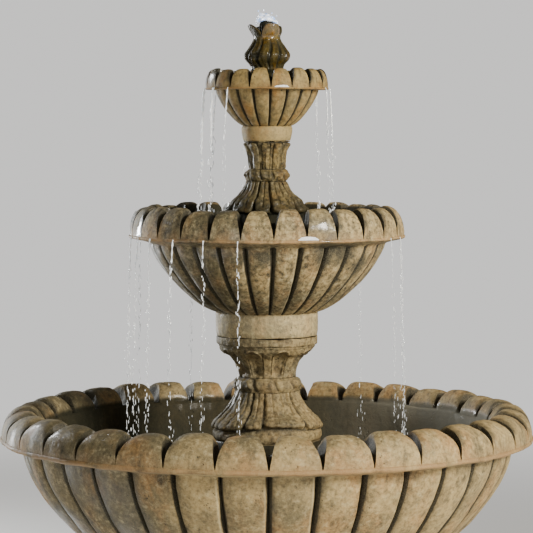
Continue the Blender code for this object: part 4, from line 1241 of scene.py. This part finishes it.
def water():
    still = pool_material()
    falling = falling_material("falling_water", (0.74, 0.80, 0.84), 0.25, 160.0)
    middle_lands = [(radians(angle), TOP.bead_r + 0.015) for angle in TOP_FALLS]
    basin_lands = [(radians(angle), MIDDLE.bead_r + 0.015) for angle in MIDDLE_FALLS]
    pool(BOTTOM, BASIN_LEVEL, 0.1335, "fountain_base", basin_lands, still)
    pool(MIDDLE, MIDDLE_LEVEL, 0.0885, "middle_bowl", middle_lands, still)
    pool(TOP, TOP_LEVEL, 0.0370, "top_bowl", [], still)
    falls_between("top_falls", TOP, TOP_FALLS, TOP_STRENGTH, 0.75, TOP.bead + 0.004, MIDDLE_LEVEL,
                  ("top_bowl", "upper_column"), ("upper_column", "middle_bowl"), falling, 71)
    falls_between("middle_falls", MIDDLE, MIDDLE_FALLS, MIDDLE_STRENGTH, 0.25, MIDDLE.bead + 0.006,
                  BASIN_LEVEL, ("middle_bowl", "lower_column"), ("lower_column", "fountain_base"),
                  falling, 72)
    spills("top_spill", TOP, ((7.0, 20.5, 0.025, 0.040), (-90, -80, 0.40, 0.20)), "top_bowl", falling)
    films = ((12.5, 21.0, 0.035, 0.045), (-88, -81, 0.60, 0.40), (-68, -64, 0.10, 0.40))
    spills("middle_spill", MIDDLE, films, "middle_bowl", falling)
    splashes("middle_splashes", middle_lands, MIDDLE_LEVEL, "middle_bowl", falling, 73)
    splashes("basin_splashes", basin_lands, BASIN_LEVEL, "fountain_base", falling, 74)
    bubbling_cap(falling_material("boiling_water", (0.38, 0.55, 0.90), 0.70, 90.0))


water()


# ---------------------------------------------------------------- stage

def area_light(name, place, target, size, power, colour):
    data = bpy.data.lights.new(name, "AREA")
    data.shape = "RECTANGLE"
    data.size, data.size_y = size
    data.energy = power
    data.color = colour
    lamp = placed(name, data)
    lamp.location = place
    lamp.rotation_euler = (Vector(target) - Vector(place)).to_track_quat("-Z", "Y").to_euler()


BACKDROP = (0.93, 0.92, 0.90)
BACKDROP_GLOW = 0.95
AMBIENT = 0.115  # light from all round
FLOOR_HALF = 40.0
FLOOR_FADE = (1.5, 7.0)  # distances over which the floor melts into the backdrop


def studio():
    mesh = bpy.data.meshes.new("studio_floor")
    corners = [(x * FLOOR_HALF, y * FLOOR_HALF, 0) for x, y in ((-1, -1), (1, -1), (1, 1), (-1, 1))]
    mesh.from_pydata(corners, [], [(0, 1, 2, 3)])
    floor = placed("studio_floor", mesh)
    made = bpy.data.materials.new("pale_floor")
    n = Nodes(made)
    n.feed({"Base Color": n.mix(n.patches(2.0), (0.80, 0.79, 0.77), (0.84, 0.83, 0.81)), "Roughness": 0.8})
    haze = n.add("Emission", {"Color": (*BACKDROP, 1), "Strength": BACKDROP_GLOW}).outputs[0]
    away = n.add("VectorMath", {0: n.place}, operation="LENGTH").outputs["Value"]
    melt = n.add("MixShader", {0: n.rise(away, *FLOOR_FADE), 1: n.shader.outputs[0], 2: haze})
    n.put(n.tree.nodes["Material Output"].inputs["Surface"], melt.outputs[0])
    floor.data.materials.append(made)

    world = bpy.data.worlds.new("studio")
    bpy.context.scene.world = world
    n = Nodes(world, "Background")
    seen = n.add("LightPath").outputs["Is Camera Ray"]
    n.feed({"Color": n.mix(seen, (0.95, 0.88, 0.74), BACKDROP),
            "Strength": n.grow(seen, BACKDROP_GLOW - AMBIENT, AMBIENT)})
    area_light("key", (3.9, -3.7, 3.0), (0, 0, 0.9), (1.4, 1.4), 450, (1.0, 0.94, 0.83))
    area_light("rim_left", (-2.9, 2.6, 1.5), (0, 0, 0.9), (0.6, 2.2), 180, (0.95, 0.98, 1.0))
    area_light("front_fill", (-1.4, -4.5, 1.8), (0, 0, 0.8), (2.5, 2.0), 30, (1.0, 0.95, 0.85))


SENSOR = 36.0
LENS = 162.7  # the basin just fills the width of the picture
SIDE_SHIFT = -0.00075
EYE = (0, -5.965, BEAD_Z + 0.777)
LOOK_DOWN = 3.35  # degrees


def camera():
    data = bpy.data.cameras.new("camera")
    data.sensor_width = SENSOR
    data.lens = LENS
    data.shift_x = SIDE_SHIFT
    eye = placed("camera", data)
    eye.location = EYE
    eye.rotation_euler = (radians(90 - LOOK_DOWN), 0, 0)
    bpy.context.scene.camera = eye


studio()
camera()
